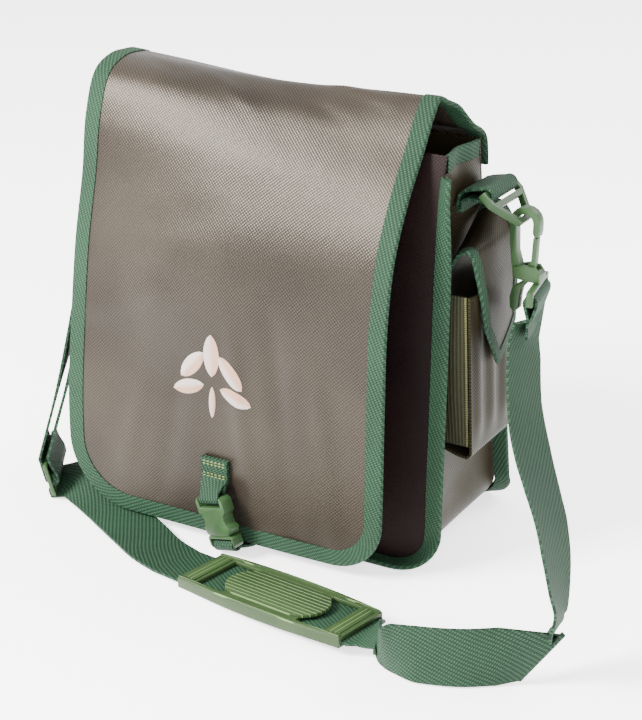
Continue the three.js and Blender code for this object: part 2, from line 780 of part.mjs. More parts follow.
// Pocket lid: a pointed flap sewn to the gusset above the pocket and folded down over it. Each row
// gives its two side edges: out is a share of the pocket's depth, y a share of the lid's width
// from its middle, up a share of the pocket's height above its bottom.
const lid_profile = [
  { front_out: 0, front_y: -0.54, front_up: 1.07, rear_out: 0, rear_y: 0.25, rear_up: 1.4 },
  { front_out: 0.5, front_y: -0.65, front_up: 1.24, rear_out: 0.5, rear_y: 0.33, rear_up: 1.43 },
  { front_out: 0.92, front_y: -0.68, front_up: 1.27, rear_out: 0.94, rear_y: 0.36, rear_up: 1.32 },
  { front_out: 1.17, front_y: -0.62, front_up: 1.1, rear_out: 1.19, rear_y: 0.32, rear_up: 1.08 },
  { front_out: 1.27, front_y: -0.54, front_up: 0.92, rear_out: 1.27, rear_y: 0.28, rear_up: 0.86 },
  { front_out: 1.3, front_y: -0.46, front_up: 0.76, rear_out: 1.3, rear_y: 0.26, rear_up: 0.7 },
];

function lid_edge(side) {
  return new THREE.CatmullRomCurve3(lid_profile.map((row) => vec(
    half_width + clearance + cloth / 2 + pocket_depth * row[`${side}_out`],
    pocket_middle + lid_width * row[`${side}_y`],
    pocket_bottom + pocket_height * row[`${side}_up`],
  )), false, 'centripetal');
}

const lid_front = lid_edge('front');
const lid_rear = lid_edge('rear');
const lid_length = (lid_front.getLength() + lid_rear.getLength()) / 2;
const lid_tip_at = 0.42;

// The lid's surface at u across from its middle and v down its length, in millimetres.
function lid_surface(u, v) {
  const across = u / lid_width + 0.5;
  const down = Math.max(0, v / lid_length);
  const over = Math.max(0, down - 1) * lid_length;
  const at = Math.min(1, down);
  const middle = lid_front.getPointAt(at).lerp(lid_rear.getPointAt(at), across);
  middle.x += lid_belly * Math.sin(Math.PI * Math.min(1, Math.max(0, across))) * smooth_step(down);
  middle.z -= over;
  return middle;
}

// How far down the lid's edge lies at u across: a blunt point.
function lid_end(u) {
  const across = u / lid_width + 0.5;
  const fall = across < lid_tip_at ? across / lid_tip_at : (1 - across) / (1 - lid_tip_at);
  return lid_length + lid_tip_drop * Math.max(0, fall);
}

const lid_inset = lid_tape_width + 2.5 * clearance;
const lid_slope = Math.atan2(lid_tip_drop, lid_width * lid_tip_at);
const lid_top_inset = 0.5;
function lid_place(i, j) {
  const u = (lid_width / 2 - lid_inset) * (2 * i - 1);
  return [u, lid_top_inset + (lid_end(u) - lid_inset / Math.cos(lid_slope) - clearance - lid_top_inset) * j];
}

add('pocket_lid', sheet(lid_surface, lid_place, 8, 12, cloth, 0.5), 'gusset_cloth');

function lid_border() {
  const half = lid_width / 2;
  const tip = lid_width * (lid_tip_at - 0.5);
  const rear_slope = Math.atan2(lid_tip_drop, lid_width * (1 - lid_tip_at));
  const path = [];
  for (const t of shares(10).slice(0, -1)) path.push({ u: -half, v: lid_top_inset + (lid_length - lid_top_inset) * t, in_u: 1, in_v: 0 });
  path.push({ u: -half, v: lid_length, in_u: 1, in_v: -Math.tan((90 * radians - lid_slope) / 2) });
  const front_in = { in_u: Math.sin(lid_slope), in_v: -Math.cos(lid_slope) };
  const rear_in = { in_u: -Math.sin(rear_slope), in_v: -Math.cos(rear_slope) };
  for (const t of [0.35, 0.7]) path.push({ u: -half + (tip + half) * t, v: lid_length + lid_tip_drop * t, ...front_in });
  path.push({ u: tip, v: lid_length + lid_tip_drop, in_u: 0, in_v: -1.15 });
  for (const t of [0.3, 0.65]) path.push({ u: tip + (half - tip) * t, v: lid_length + lid_tip_drop * (1 - t), ...rear_in });
  path.push({ u: half, v: lid_length, in_u: -1, in_v: -Math.tan((90 * radians - rear_slope) / 2) });
  for (const t of shares(10).slice(1)) path.push({ u: half, v: lid_length + (lid_top_inset - lid_length) * t, in_u: -1, in_v: 0 });
  return path;
}

add('pocket_lid_binding', edge_tape(lid_surface, lid_border(), lid_tape_width, binding_thickness - 0.6, 0.5), 'binding');

// Strap loops: webbing sewn high on each side of the gusset, folded over the ring's bar.
const loop_height = bag_height - loop_drop;
const loop_x = half_width + loop_stand_off;
const loop_plies = [
  { over: 0, out: 0, drop: 1 },
  { over: 0, out: 0, drop: 0.52 },
  { over: 0, out: 0.03, drop: 0.22 },
  { over: 0, out: 0.16, drop: -0.03 },
  { over: 1, out: 0.17, drop: 0.32 },
  { over: 1, out: 0.03, drop: 0.48 },
  { over: 1, out: 0, drop: 0.7 },
  { over: 1, out: 0, drop: 1 },
];

function strap_loop(side, name, stand_off) {
  const wall = half_width + clearance + strap_thickness / 2;
  const reach = wrap_radius(ring_bar, fitting_thickness, strap_thickness);
  const plies = loop_plies.map(({ over, out, drop }) => [
    wall + over * (strap_thickness + clearance) + stand_off * out,
    loop_height - loop_tail * drop,
  ]);
  const turn = [120, 90, 60, 30, 0, -30, -60, -90].map((a) => [
    half_width + stand_off + reach * Math.cos(a * radians),
    loop_height + reach * Math.sin(a * radians),
  ]);
  const points = [...plies.slice(0, 4), ...turn, ...plies.slice(4)];
  const sections = points.map(([x, z]) => ({ at: vec(side * x, loop_middle, z), across: vec(0, 1, 0) }));
  add(name, strip(sections, strap_width, strap_thickness), 'webbing');
}

strap_loop(1, 'strap_loop_right', loop_stand_off);
strap_loop(-1, 'strap_loop_left', left_stand_off);

// Right ring: a tapered plastic ring with a slot for the loop and a hole for the hook.
const ring_slot_half = strap_width / 2 + strap_play;
const ring_half = ring_slot_half + ring_bar;
const ring_apex_half = ring_apex_width / 2;
const slot_near = ring_bar / 2;
const slot_far = slot_near + ring_slot_depth;
const apex = ring_length - ring_bar / 2;
const side_half = (b) => ring_half + (ring_apex_half - ring_half) * Math.max(0, (b - slot_far) / (apex - slot_far));
const hole_half = (b) => side_half(b) - ring_bar - ring_taper;
const ring_outline = [
  [-ring_half, -ring_bar / 2],
  [ring_half, -ring_bar / 2],
  [ring_half, slot_far],
  [ring_apex_half, apex],
  [ring_apex_half - ring_bar / 2, ring_length],
  [-ring_apex_half + ring_bar / 2, ring_length],
  [-ring_apex_half, apex],
  [-ring_half, slot_far],
];
const hole_near = slot_far + ring_bar;
const hole_far = ring_length - ring_bar;
const ring_slot = rectangle(-ring_slot_half, slot_near, ring_slot_half, slot_far);
const ring_hole = [
  [-hole_half(hole_near), hole_near],
  [hole_half(hole_near), hole_near],
  [hole_half(hole_far), hole_far],
  [-hole_half(hole_far), hole_far],
];
const ring_right = add('ring_right', plate(ring_outline, [ring_slot, ring_hole], fitting_thickness), 'plastic');
const ring_slope = ring_tilt * radians;
const ring_way = vec(Math.cos(ring_slope), 0, -Math.sin(ring_slope));
place(ring_right, vec(loop_x, loop_middle, loop_height), vec(0, 1, 0), ring_way);

// Left ring: a plain plastic ring between the loop and the strap.
const left_ring_way = direction(180, left_ring_tilt - 90);
const left_loop = vec(-half_width - left_stand_off, loop_middle, loop_height);
const side_outline = [
  [-ring_half, -ring_bar / 2],
  [ring_half, -ring_bar / 2],
  [ring_half, side_ring_length + ring_bar / 2],
  [-ring_half, side_ring_length + ring_bar / 2],
];
const side_hole = rectangle(-ring_slot_half, ring_bar / 2, ring_slot_half, side_ring_length - ring_bar / 2);
const ring_left = add('ring_left', plate(side_outline, [side_hole], fitting_thickness), 'plastic');
place(ring_left, left_loop, vec(0, 1, 0), left_ring_way);

// Snap hook, in its own plane: a is outwards from the bag, b is up. of_hook takes shares of its height.
const curl_b = hook_height - curl_outer;
const ring_end = vec(loop_x, loop_middle, loop_height).addScaledVector(ring_way, apex);
const hook_at = ring_end.clone().add(vec(ring_bar / 2, 0, -ring_seat - curl_b));
const tip_b = curl_b - tip_length;
const of_hook = (a, b) => [a * hook_height, b * hook_height];
const gate_thickness = hook_thickness - 1;
const hook_outline = [
  of_hook(-0.146, -0.122),
  of_hook(0.0293, -0.122),
  of_hook(0.0293, 0.0244),
  of_hook(-0.0366, 0.0488),
  [-curl_inner * 0.84, curl_b * 0.387],
  [-curl_inner, curl_b],
  ...arc(0, curl_b, curl_inner, 180, 0, 8).slice(1),
  [curl_inner, tip_b + tip_length * 0.294],
  [curl_inner * 1.214, tip_b],
  [curl_outer * 0.95, tip_b + tip_length * 0.06],
  [curl_outer, tip_b + tip_length * 0.47],
  ...arc(0, curl_b, curl_outer, 0, 180, 10),
  [-curl_outer * 0.9, curl_b * 0.5],
  of_hook(-0.183, 0.0976),
];
const collar = [[0.21, -0.156], [0.302, -0.156], [0.302, -0.0244], [0.256, 0.0244], [0.21, 0.0244]];
const cheek_outline = [
  [-0.122, -0.122],
  [0.0976, -0.156],
  [0.302, -0.156],
  [0.302, -0.0244],
  [0.22, 0.083],
  [0.0488, 0.0927],
  [-0.122, 0.0488],
];
const cheeks = [-1, 1].map((side) => {
  const cheek = plate(cheek_outline.map((row) => of_hook(...row)), [], cheek_thickness);
  return cheek.translate(0, 0, side * (gate_thickness / 2 + clearance + cheek_thickness / 2));
});
const body_parts = [plate(hook_outline, [], hook_thickness), plate(collar.map((row) => of_hook(...row)), [], hook_thickness), ...cheeks];
const hook_body = add('hook_body', join(body_parts), 'plastic');
const hook_second = vec(0, 0, 1);
place(hook_body, hook_at, level, hook_second);

// Gate: a thin arm that closes the hook, its pivot barrel and the thumb paddle in one piece.
const gate_top = tip_b - gate_gap;
const gate_arm = gate_width * 1.286;
const gate_outline = [
  ...arc(0, 0, gate_width, -20, 20, 2),
  of_hook(0.078, 0.146),
  [gate_arm, gate_top],
  [gate_arm - gate_width, gate_top],
  of_hook(0.00488, 0.171),
  of_hook(-0.0634, 0.0585),
  of_hook(-0.0634, -0.146),
  of_hook(-0.146, -0.195),
  of_hook(-0.28, -0.293),
  of_hook(-0.317, -0.463),
  of_hook(-0.305, -0.634),
  of_hook(-0.232, -0.707),
  of_hook(-0.159, -0.634),
  of_hook(-0.146, -0.415),
  of_hook(-0.122, -0.293),
  of_hook(-0.0366, -0.185),
  of_hook(0.0293, -0.132),
].map(([a, b]) => [a + pivot_a, b]);
const hook_gate = add('hook_gate', plate(gate_outline, [], gate_thickness), 'plastic');
place(hook_gate, hook_at, level, hook_second);

// Swivel: the frame under the hook that the strap is looped through. It is flat across the hook.
const swivel_half = ring_slot_half + swivel_side;
const swivel_a = pivot_a + swivel_out_by;
const swivel_top = -swivel_drop;
const swivel_outline = rectangle(-swivel_half, swivel_top - swivel_height, swivel_half, swivel_top);
const swivel_slot = rectangle(
  -ring_slot_half,
  swivel_top - swivel_height + swivel_bar_height,
  ring_slot_half,
  swivel_top - swivel_bar_height,
);
const swivel = add('hook_swivel', plate(swivel_outline, [swivel_slot], fitting_thickness), 'plastic');
const swivel_way = direction(90 + swivel_turn, 0);
place(swivel, hook_at.clone().add(vec(swivel_a, 0, 0)), swivel_way, vec(0, 0, 1));

// Strap slider at the lower left, standing on its end.
const slider_at = vec(-1.235 * half_width, 1.41 * front_y, slider_stand);
const slider_across = direction(118, 10);
const slider_up = vec(-0.1, -0.25, 1).normalize();
slider_up.addScaledVector(slider_across, -slider_up.dot(slider_across)).normalize();
const slider_half = ring_slot_half + slider_side;
const slider_slot = (slider_length - 3 * slider_bar) / 2;
const slider_outline = rectangle(-slider_half, -slider_length / 2, slider_half, slider_length / 2);
const slider_slots = [-1, 1].map((side) => {
  const middle = side * (slider_bar + slider_slot) / 2;
  return rectangle(-ring_slot_half, middle - slider_slot / 2, ring_slot_half, middle + slider_slot / 2);
});
const slider = add('strap_slider', plate(slider_outline, slider_slots, slider_thickness), 'plastic');
place(slider, slider_at, slider_across, slider_up);

// The way across the strap: heading in the floor's plane from +X, lift above it, in degrees.
function direction(heading, lift) {
  const [h, l] = [heading * radians, lift * radians];
  return vec(Math.cos(h) * Math.cos(l), Math.sin(h) * Math.cos(l), Math.sin(l));
}

// Strap route. x is a share of half the bag's width, y a share of half its depth, z a share of the
// bag's height (fall) or of the strap's width (stand). heading and lift give the way across it,
// and spread how wide it lies, in a share of its width, where it is folded lengthwise.
const hanging_route = [
  { x: 1.372, y: -0.3, fall: 0.59, heading: -92, lift: 12 },
  { x: 1.392, y: -0.424, fall: 0.547, heading: -103, lift: 24 },
  { x: 1.454, y: -0.678, fall: 0.462, heading: -107, lift: 28 },
  { x: 1.551, y: -0.966, fall: 0.389, heading: -117, lift: 30 },
  { x: 1.659, y: -1.271, fall: 0.341, heading: -125, lift: 35 },
  { x: 1.766, y: -1.576, fall: 0.307, heading: -125, lift: 38 },
  { x: 1.864, y: -1.881, fall: 0.27, heading: -120, lift: 44 },
  { x: 1.945, y: -2.186, fall: 0.23, heading: -110, lift: 48 },
  { x: 2.008, y: -2.424, fall: 0.184, heading: -90, lift: 42 },
  { x: 2.03, y: -2.5, fall: 0.155, heading: -76, lift: 40 },
  { x: 2.01, y: -2.57, fall: 0.118, heading: -46, lift: 52 },
];

const floor_route = [
  { x: 1.8, y: -2.85, stand: 0.53, heading: 40, lift: 90, spread: 1 },
  { x: 1.66, y: -3.05, stand: 0.53, heading: 70, lift: 90, spread: 1 },
  { x: 1.46, y: -3.21, stand: 0.53, heading: 80, lift: 93, spread: 1 },
  { x: 1.357, y: -3.225, stand: 0.52, heading: 72, lift: 103, spread: 1 },
  { x: 1.286, y: -3.197, stand: 0.48, heading: 110, lift: 115, spread: 1 },
  { x: 1.236, y: -3.068, stand: 0.455, heading: -50, lift: 72, spread: 0.68 },
  { x: 1.216, y: -3, stand: 0.458, heading: 99, lift: 42, spread: 0.45 },
  { x: 1.14, y: -2.88, stand: 0.342, heading: 78, lift: 17, spread: 0.64 },
];

const left_route = [
  { x: -0.136, y: -2.31, stand: 0.085, heading: 79, lift: 0 },
  { x: -0.304, y: -2.17, stand: 0.08, heading: 72, lift: 1 },
  { x: -0.456, y: -1.983, stand: 0.085, heading: 64, lift: 3 },
  { x: -0.608, y: -1.797, stand: 0.095, heading: 60, lift: 4 },
  { x: -0.76, y: -1.61, stand: 0.137, heading: 61, lift: 9 },
  { x: -0.912, y: -1.458, stand: 0.25, heading: 68, lift: 24 },
  { x: -1.056, y: -1.356, stand: 0.37, heading: 84, lift: 42 },
];

function route_point({ x, y, fall, stand }) {
  const z = fall === undefined ? strap_width * stand : bag_height * fall;
  return vec(half_width * x, (base_depth / 2) * y, z);
}

// A smooth run of sections through the rows of a route.
function route(rows, steps) {
  const curve = new THREE.CatmullRomCurve3(rows.map(route_point), false, 'centripetal');
  return shares(steps).map((t) => {
    const place_at = t * (rows.length - 1);
    const i = Math.min(rows.length - 2, Math.floor(place_at));
    const part = place_at - i;
    const across = direction(rows[i].heading, rows[i].lift).lerp(direction(rows[i + 1].heading, rows[i + 1].lift), part);
    const spread = (rows[i].spread ?? 1) * (1 - part) + (rows[i + 1].spread ?? 1) * part;
    return { at: curve.getPoint(t), across: across.normalize(), spread };
  });
}

// Turns the way across so that it is square to the run.
function squared(sections) {
  return sections.map((section, i) => {
    const before = sections[Math.max(0, i - 1)].at;
    const after = sections[Math.min(sections.length - 1, i + 1)].at;
    const run = after.clone().sub(before).normalize();
    const across = section.across.clone().addScaledVector(run, -section.across.dot(run)).normalize();
    return { ...section, across };
  });
}

// Round the swivel's lower bar, with the end sewn behind the strap.
const swivel_bar = hook_at.clone().add(vec(swivel_a, 0, swivel_top - swivel_height + swivel_bar_height / 2));
const bar_wrap = wrap_radius(swivel_bar_height, fitting_thickness, strap_thickness);
const swivel_out = swivel_way.clone().cross(vec(0, 0, 1));
const ply_half = (strap_thickness + clearance) / 2;
const by_swivel = (out, up) => swivel_bar.clone().addScaledVector(swivel_out, out).add(vec(0, 0, up));
const hook_wrap = [[-ply_half, -24], [-ply_half, -11], [-bar_wrap * 0.9, -2.4]].map(([out, up]) => by_swivel(out, up));
for (const a of [180, 150, 120, 90, 60, 30, 0]) {
  hook_wrap.push(by_swivel(bar_wrap * Math.cos(a * radians), bar_wrap * Math.sin(a * radians)));
}
for (const [out, up] of [[bar_wrap * 0.9, -2.4], [ply_half, -11]]) hook_wrap.push(by_swivel(out, up));
const hook_sections = hook_wrap.map((at) => ({ at, across: swivel_way.clone().negate() }));

// The fold where the hanging strap meets the standing stretch: the strap turns back on itself
// along a slanting line.
const fold_at = route_point({ x: 1.976, y: -2.644, stand: 0.54 });
const fold_slant = direction(13, 55);
const fold_back = vec(-0.42, 0.9, 0).normalize();
const fold_turn = (strap_thickness + fold_gap) / 2;
const fold_spread = 1.22;
const fold_out = fold_back.clone().cross(fold_slant).normalize();
const fold_sections = [0, 45, 90, 135, 180].map((a) => {
  const at = fold_at.clone();
  at.addScaledVector(fold_back, fold_turn * Math.cos(a * radians));
  at.addScaledVector(fold_out, fold_turn * Math.sin(a * radians));
  return { at, across: fold_slant, spread: fold_spread };
});

// The pad's own line.
const pad_heading = -11.2;
const pad_way = direction(pad_heading, pad_tilt);
const pad_middle = route_point({ x: 0.552, y: -2.576, stand: 0 });
pad_middle.z = (pad_thickness * Math.cos(pad_tilt * radians) + pad_length * Math.sin(pad_tilt * radians)) / 2;
const pad_across = direction(pad_heading + 90, 0);
const pad_strap_drop = pad_thickness * 0.08;
const on_pad = (share) => pad_middle.clone().addScaledVector(pad_way, pad_length * share).sub(vec(0, 0, pad_strap_drop));
const pad_sections = [0.53, 0.2, -0.2, -0.53].map((share) => ({ at: on_pad(share), across: pad_across }));

// Through the slider, up to the left ring, round its lower bar and back round the slider's middle
// bar. up and out are measured from the slider's middle, in its own plane and square to it.
const ring_across = vec(0, 1, 0);
const ring_bar_left = left_loop.clone().addScaledVector(left_ring_way, side_ring_length);
const slider_out = slider_across.clone().cross(slider_up).normalize();
const by_slider = ([up, out]) => ({
  at: slider_at.clone().addScaledVector(slider_up, up).addScaledVector(slider_out, out),
  across: slider_across,
});
const near_ply = slider_thickness / 2 + strap_thickness / 2 + 0.5;
const far_ply = near_ply + strap_thickness + 0.6;
const bar_step = slider_bar / 2 + strap_thickness / 2 + 0.5;
const slider_edge = slider_length / 2;
const slider_in = [
  [-slider_edge - 3, -near_ply],
  [-slider_edge + slider_bar / 2, -near_ply - 0.1],
  [-slider_edge + slider_bar + 0.6, -near_ply + 0.3],
  [-slider_edge + slider_bar + 2.4, -1],
  [-slider_edge + slider_bar + 3.6, 1.6],
  [-slider_edge + slider_bar + 5, far_ply - 1.4],
  [-bar_step, far_ply - 0.1],
  [bar_step, far_ply],
  [slider_edge - slider_bar, near_ply + 0.5],
  [slider_edge + 4, near_ply + 0.1],
].map(by_slider);
const slider_end = [
  [slider_edge + 4, -near_ply],
  [slider_edge - slider_bar, -near_ply],
  [bar_step, -near_ply],
  [-bar_step + 1, -near_ply],
  [-bar_step - 0.2, -near_ply * 0.55],
  [-bar_step - 0.2, near_ply * 0.6],
  [-bar_step + 0.9, near_ply + 0.1],
  [bar_step - 1, near_ply + 0.1],
].map(by_slider);

const riser_turn = 0.1;
function riser(foot, out) {
  const top = ring_bar_left.clone().add(vec(out, 0, -ring_bar));
  return shares(8).slice(1, -1).map((t) => ({
    at: foot.at.clone().lerp(top, t),
    across: slider_across.clone().lerp(ring_across, smooth_step((t - riser_turn) / (1 - riser_turn))).normalize(),
  }));
}

const left_wrap = wrap_radius(ring_bar, fitting_thickness, strap_thickness);
const ring_sections = [180, 150, 120, 90, 60, 30, 0].map((a) => ({
  at: ring_bar_left.clone().add(vec(left_wrap * Math.cos(a * radians), 0, left_wrap * Math.sin(a * radians))),
  across: ring_across,
}));
const front_sign = Math.sign(slider_out.x) || 1;
const ring_turn = front_sign < 0 ? ring_sections : ring_sections.slice().reverse();
const riser_up = riser(slider_in[slider_in.length - 1], front_sign * left_wrap);
const riser_down = riser(slider_end[0], -front_sign * left_wrap).reverse();

const strap_sections = [
  ...hook_sections,
  ...squared(route(hanging_route, 22)),
  ...fold_sections,
  ...route(floor_route, 21),
  ...pad_sections,
  ...squared(route(left_route, 16)),
  ...slider_in,
  ...riser_up,
  ...ring_turn,
  ...riser_down,
  ...slider_end,
];
add('shoulder_strap', strip(strap_sections, strap_width, strap_thickness), 'webbing');

// Shoulder pad: a moulded sleeve that lies on the floor, with the strap running through it and
// showing in two windows.
const pad_half = (share) => {
  const middle = Math.cos(Math.PI * share) ** 0.8;
  return (pad_end_width + (pad_width - pad_end_width) * middle) / 2;
};
const pad_edge = shares(12).map((t) => [pad_length * (t - 0.5), pad_half(Math.min(0.49, Math.max(-0.49, t - 0.5)))]);
const pad_outline = [...pad_edge.map(([a, b]) => [a, -b]), ...pad_edge.slice().reverse()];
const tunnel_half = strap_width / 2 + 0.5;
const tunnel_thickness = strap_thickness + 2 * clearance;
const window_at = pad_length * pad_window_share;

const pad_body = plate(pad_outline, [], pad_thickness);
const tunnel = new THREE.BoxGeometry(pad_length * 1.1, 2 * tunnel_half, tunnel_thickness);
tunnel.translate(0, 0, -pad_strap_drop);
const windows = [-1, 1].map((side) => {
  const window = new THREE.BoxGeometry(pad_window, 2 * tunnel_half - 2, pad_thickness);
  return window.translate(side * window_at, 0, pad_thickness / 2 - pad_strap_drop);
});
const pad = add('shoulder_pad', cut(pad_body, [tunnel, ...windows]), 'pad_plastic');
place(pad, pad_middle, pad_way, pad_across);

export default bag;
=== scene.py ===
"""A small canvas reporter bag that stands on a pale floor with its strap laid in front of it.

Sizes are in millimetres until a mesh is made, and then in metres, in the frame of the solids.
"""
from bisect import bisect_right
from math import atan2, cos, exp, hypot, pi, radians, sin, sqrt

import bmesh
import bpy
from mathutils import Matrix, Vector


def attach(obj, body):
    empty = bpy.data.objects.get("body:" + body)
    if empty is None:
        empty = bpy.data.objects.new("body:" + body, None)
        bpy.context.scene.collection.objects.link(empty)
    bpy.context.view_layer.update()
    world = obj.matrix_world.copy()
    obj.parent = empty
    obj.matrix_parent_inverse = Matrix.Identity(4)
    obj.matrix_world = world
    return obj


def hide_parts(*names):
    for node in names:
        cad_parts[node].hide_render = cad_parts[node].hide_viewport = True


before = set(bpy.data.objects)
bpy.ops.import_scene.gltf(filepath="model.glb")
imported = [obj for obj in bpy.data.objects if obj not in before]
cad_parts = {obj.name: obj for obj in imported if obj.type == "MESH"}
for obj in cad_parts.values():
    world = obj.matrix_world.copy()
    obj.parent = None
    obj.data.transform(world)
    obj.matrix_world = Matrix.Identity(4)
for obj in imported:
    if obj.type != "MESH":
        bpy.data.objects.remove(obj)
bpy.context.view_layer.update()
scene = bpy.context.scene

# Camera: a long lens that looks down on the bag from above and to the right of its front, as the
# photograph does.
camera_data = bpy.data.cameras.new("camera")
camera_data.sensor_fit = "VERTICAL"
camera_data.sensor_height = 36
camera_data.lens = 92.55
camera = bpy.data.objects.new("camera", camera_data)
turn, lift, roll = radians(28.6), radians(21.8), radians(0.7)
ahead = Vector((-sin(turn) * cos(lift), cos(turn) * cos(lift), -sin(lift)))
level_right = Vector((cos(turn), sin(turn), 0))
level_up = level_right.cross(ahead)
camera_right = level_right * cos(roll) + level_up * sin(roll)
camera_up = level_up * cos(roll) - level_right * sin(roll)
camera.matrix_world = Matrix.Translation((0.5803, -1.0371, 0.5773)) @ Matrix(
    (camera_right, camera_up, -ahead)
).transposed().to_4x4()
scene.collection.objects.link(camera)
scene.camera = camera

# Body of the bag: its main sizes, and the shapes of its front and sloping back, which the panels,
# the gusset, the bindings and the flap all share.
BAG_WIDTH, BAG_HEIGHT, BASE_DEPTH, TOP_DEPTH = 250, 276, 118, 50
TOP_LEAN, LEAN_FROM = 13, 0.7
CORNER = 24
CLOTH = 2
PANEL_SWELL = 5
GUSSET_TUCK = 9
GAP = 0.3
MM = 0.001
HALF_WIDTH = BAG_WIDTH / 2
FRONT_Y = -BASE_DEPTH / 2


def back_y(z):
    return BASE_DEPTH / 2 - (BASE_DEPTH - TOP_LEAN - TOP_DEPTH) * (z / BAG_HEIGHT)


def front_face(z):
    up = max(0, (z / BAG_HEIGHT - LEAN_FROM) / (1 - LEAN_FROM))
    return FRONT_Y + TOP_LEAN * up**2


def smooth_step(t):
    s = min(1, max(0, t))
    return s * s * (3 - 2 * s)


def shares(steps):
    return [i / steps for i in range(steps + 1)]


def mix(a, b, t):
    return a + (b - a) * t


class Signal:
    """One value of a material, so that shader maths reads as plain arithmetic."""

    def __init__(self, tree, socket=None):
        self.tree = tree
        self.socket = socket

    def node(self, kind, values=None, settings=None, output=0):
        made = self.tree.nodes.new(kind)
        for name, value in (settings or {}).items():
            setattr(made, name, value)
        for key, value in (values or {}).items():
            if isinstance(value, Signal):
                self.tree.links.new(value.socket, made.inputs[key])
            else:
                made.inputs[key].default_value = value
        return Signal(self.tree, made.outputs[output])

    def maths(self, operation, *terms):
        return self.node("ShaderNodeMath", dict(enumerate(terms)), {"operation": operation})

    def __add__(self, other):
        return self.maths("ADD", self, other)

    def __sub__(self, other):
        return self.maths("SUBTRACT", self, other)

    def __rsub__(self, other):
        return self.maths("SUBTRACT", other, self)

    def __mul__(self, other):
        return self.maths("MULTIPLY", self, other)

    __radd__ = __add__
    __rmul__ = __mul__

    def repeats(self, pitch):
        """Threads or ribs at a pitch in millimetres: 1 on each of them and -1 between them."""
        return self.maths("COSINE", self * (2 * pi / (pitch * MM)))

    def ramp(self, low, high):
        values = {"Value": self, "From Min": low, "From Max": high}
        return self.node("ShaderNodeMapRange", values, {"interpolation_type": "SMOOTHSTEP"})

    def tint(self, low, high):
        values = {"Factor": self, 6: (*low, 1) if isinstance(low, tuple) else low, 7: (*high, 1)}
        return self.node("ShaderNodeMix", values, {"data_type": "RGBA"}, 2)

    def noise(self, where, scale, detail=2):
        values = {"Vector": where, "Scale": scale, "Detail": detail}
        return self.node("ShaderNodeTexNoise", values)

    def relief(self, strength, distance, **under):
        values = {"Strength": strength, "Distance": distance, "Height": self}
        return self.node("ShaderNodeBump", values | under)

    def place(self):
        return self.node("ShaderNodeTexCoord", output=3)

    def cloth_map(self):
        """The cloth's own map in metres: the whole of it, then across and along."""
        cloth = self.node("ShaderNodeUVMap", settings={"uv_map": "cloth"})
        across = self.node("ShaderNodeSeparateXYZ", {0: cloth})
        return cloth, across, Signal(self.tree, across.socket.node.outputs[1])


def material(name, **uniform):
    made = bpy.data.materials.new(name)
    made.use_nodes = True
    shader = made.node_tree.nodes["Principled BSDF"]
    for socket, value in uniform.items():
        shader.inputs[socket.replace("_", " ")].default_value = value
    return made, shader, Signal(made.node_tree)


def wire(shader, socket, signal):
    signal.tree.links.new(signal.socket, shader.inputs[socket])


# Canvas: a coated basket weave, whose threads show as rows of light dots. The pattern follows the
# cloth's own UV map, in metres, and the wide tone of the cloth follows the bag.
def canvas(name, ground, dot, pitch, shine, **uniform):
    made, shader, start = material(name, **uniform)
    cloth, u, v = start.cloth_map()
    place = start.place()
    wide = start.noise(place, 9, 3)
    fine = start.noise(cloth, 1400, 1)
    threads = u.repeats(pitch) * v.repeats(pitch)
    dots = (threads + fine * 0.5).ramp(0.05, 0.95)
    tone = (dots * 0.7 + wide.ramp(0.35, 0.65) * 0.3).tint(ground, dot)
    wire(shader, "Base Color", tone)
    wire(shader, "Roughness", shine + wide * 0.14 - dots * 0.12)
    weave = (threads * 0.5 + fine * 0.25).relief(0.32, 0.0004)
    wire(shader, "Normal", start.noise(place, 26, 3).relief(0.16, 0.004, Normal=weave))
    return made


def piece(name, bm, finish, body="root"):
    mesh = bpy.data.meshes.new(name)
    bm.to_mesh(mesh)
    bm.free()
    made = bpy.data.objects.new(name, mesh)
    scene.collection.objects.link(made)
    mesh.materials.append(finish)
    mesh.shade_smooth()
    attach(made, body)
    return made


def thicken(made, thickness, bevel=0.3, offset=0):
    wall = made.modifiers.new("wall", "SOLIDIFY")
    wall.thickness = thickness * MM
    wall.offset = offset
    rim = made.modifiers.new("rim", "BEVEL")
    rim.width = bevel * MM
    rim.segments = 2
    rim.limit_method = "ANGLE"
    rim.angle_limit = radians(50)
    rim.harden_normals = True
    return made


def cloth_grid(columns, rows, point, uv):
    """A grid moved onto a surface: point and uv take the shares across and down."""
    bm = bmesh.new()
    layer = bm.loops.layers.uv.new("cloth")
    bmesh.ops.create_grid(bm, x_segments=columns, y_segments=rows, size=0.5)
    for face in bm.faces:
        for loop in face.loops:
            loop[layer].uv = [value * MM for value in uv(loop.vert.co.x + 0.5, loop.vert.co.y + 0.5)]
    for vertex in bm.verts:
        vertex.co = Vector(point(vertex.co.x + 0.5, vertex.co.y + 0.5)) * MM
    return bm


WEAVE = 2.4
gusset_canvas = canvas(
    "olive canvas", (0.003, 0.0022, 0.001), (0.025, 0.02, 0.0095), WEAVE, 0.42,
    Specular_IOR_Level=0.1, Specular_Tint=(1, 0.9, 0.65, 1),
)
dark_canvas = canvas(
    "maroon canvas", (0.002, 0.0008, 0.0009), (0.012, 0.0052, 0.005), WEAVE, 0.5,
    Specular_IOR_Level=0.08,
)
flap_canvas = canvas(
    "taupe canvas", (0.0025, 0.0013, 0.0011), (0.036, 0.029, 0.021), WEAVE, 0.34,
    Specular_IOR_Level=0.24, Specular_Tint=(1, 0.9, 0.78, 1),
)


# Front and back panels: flat cloth cut with rounded lower corners, slightly swollen by the padding.
def panel_half(z):
    low = max(0, CORNER - z)
    return HALF_WIDTH - CORNER + sqrt(max(0, CORNER**2 - low**2))


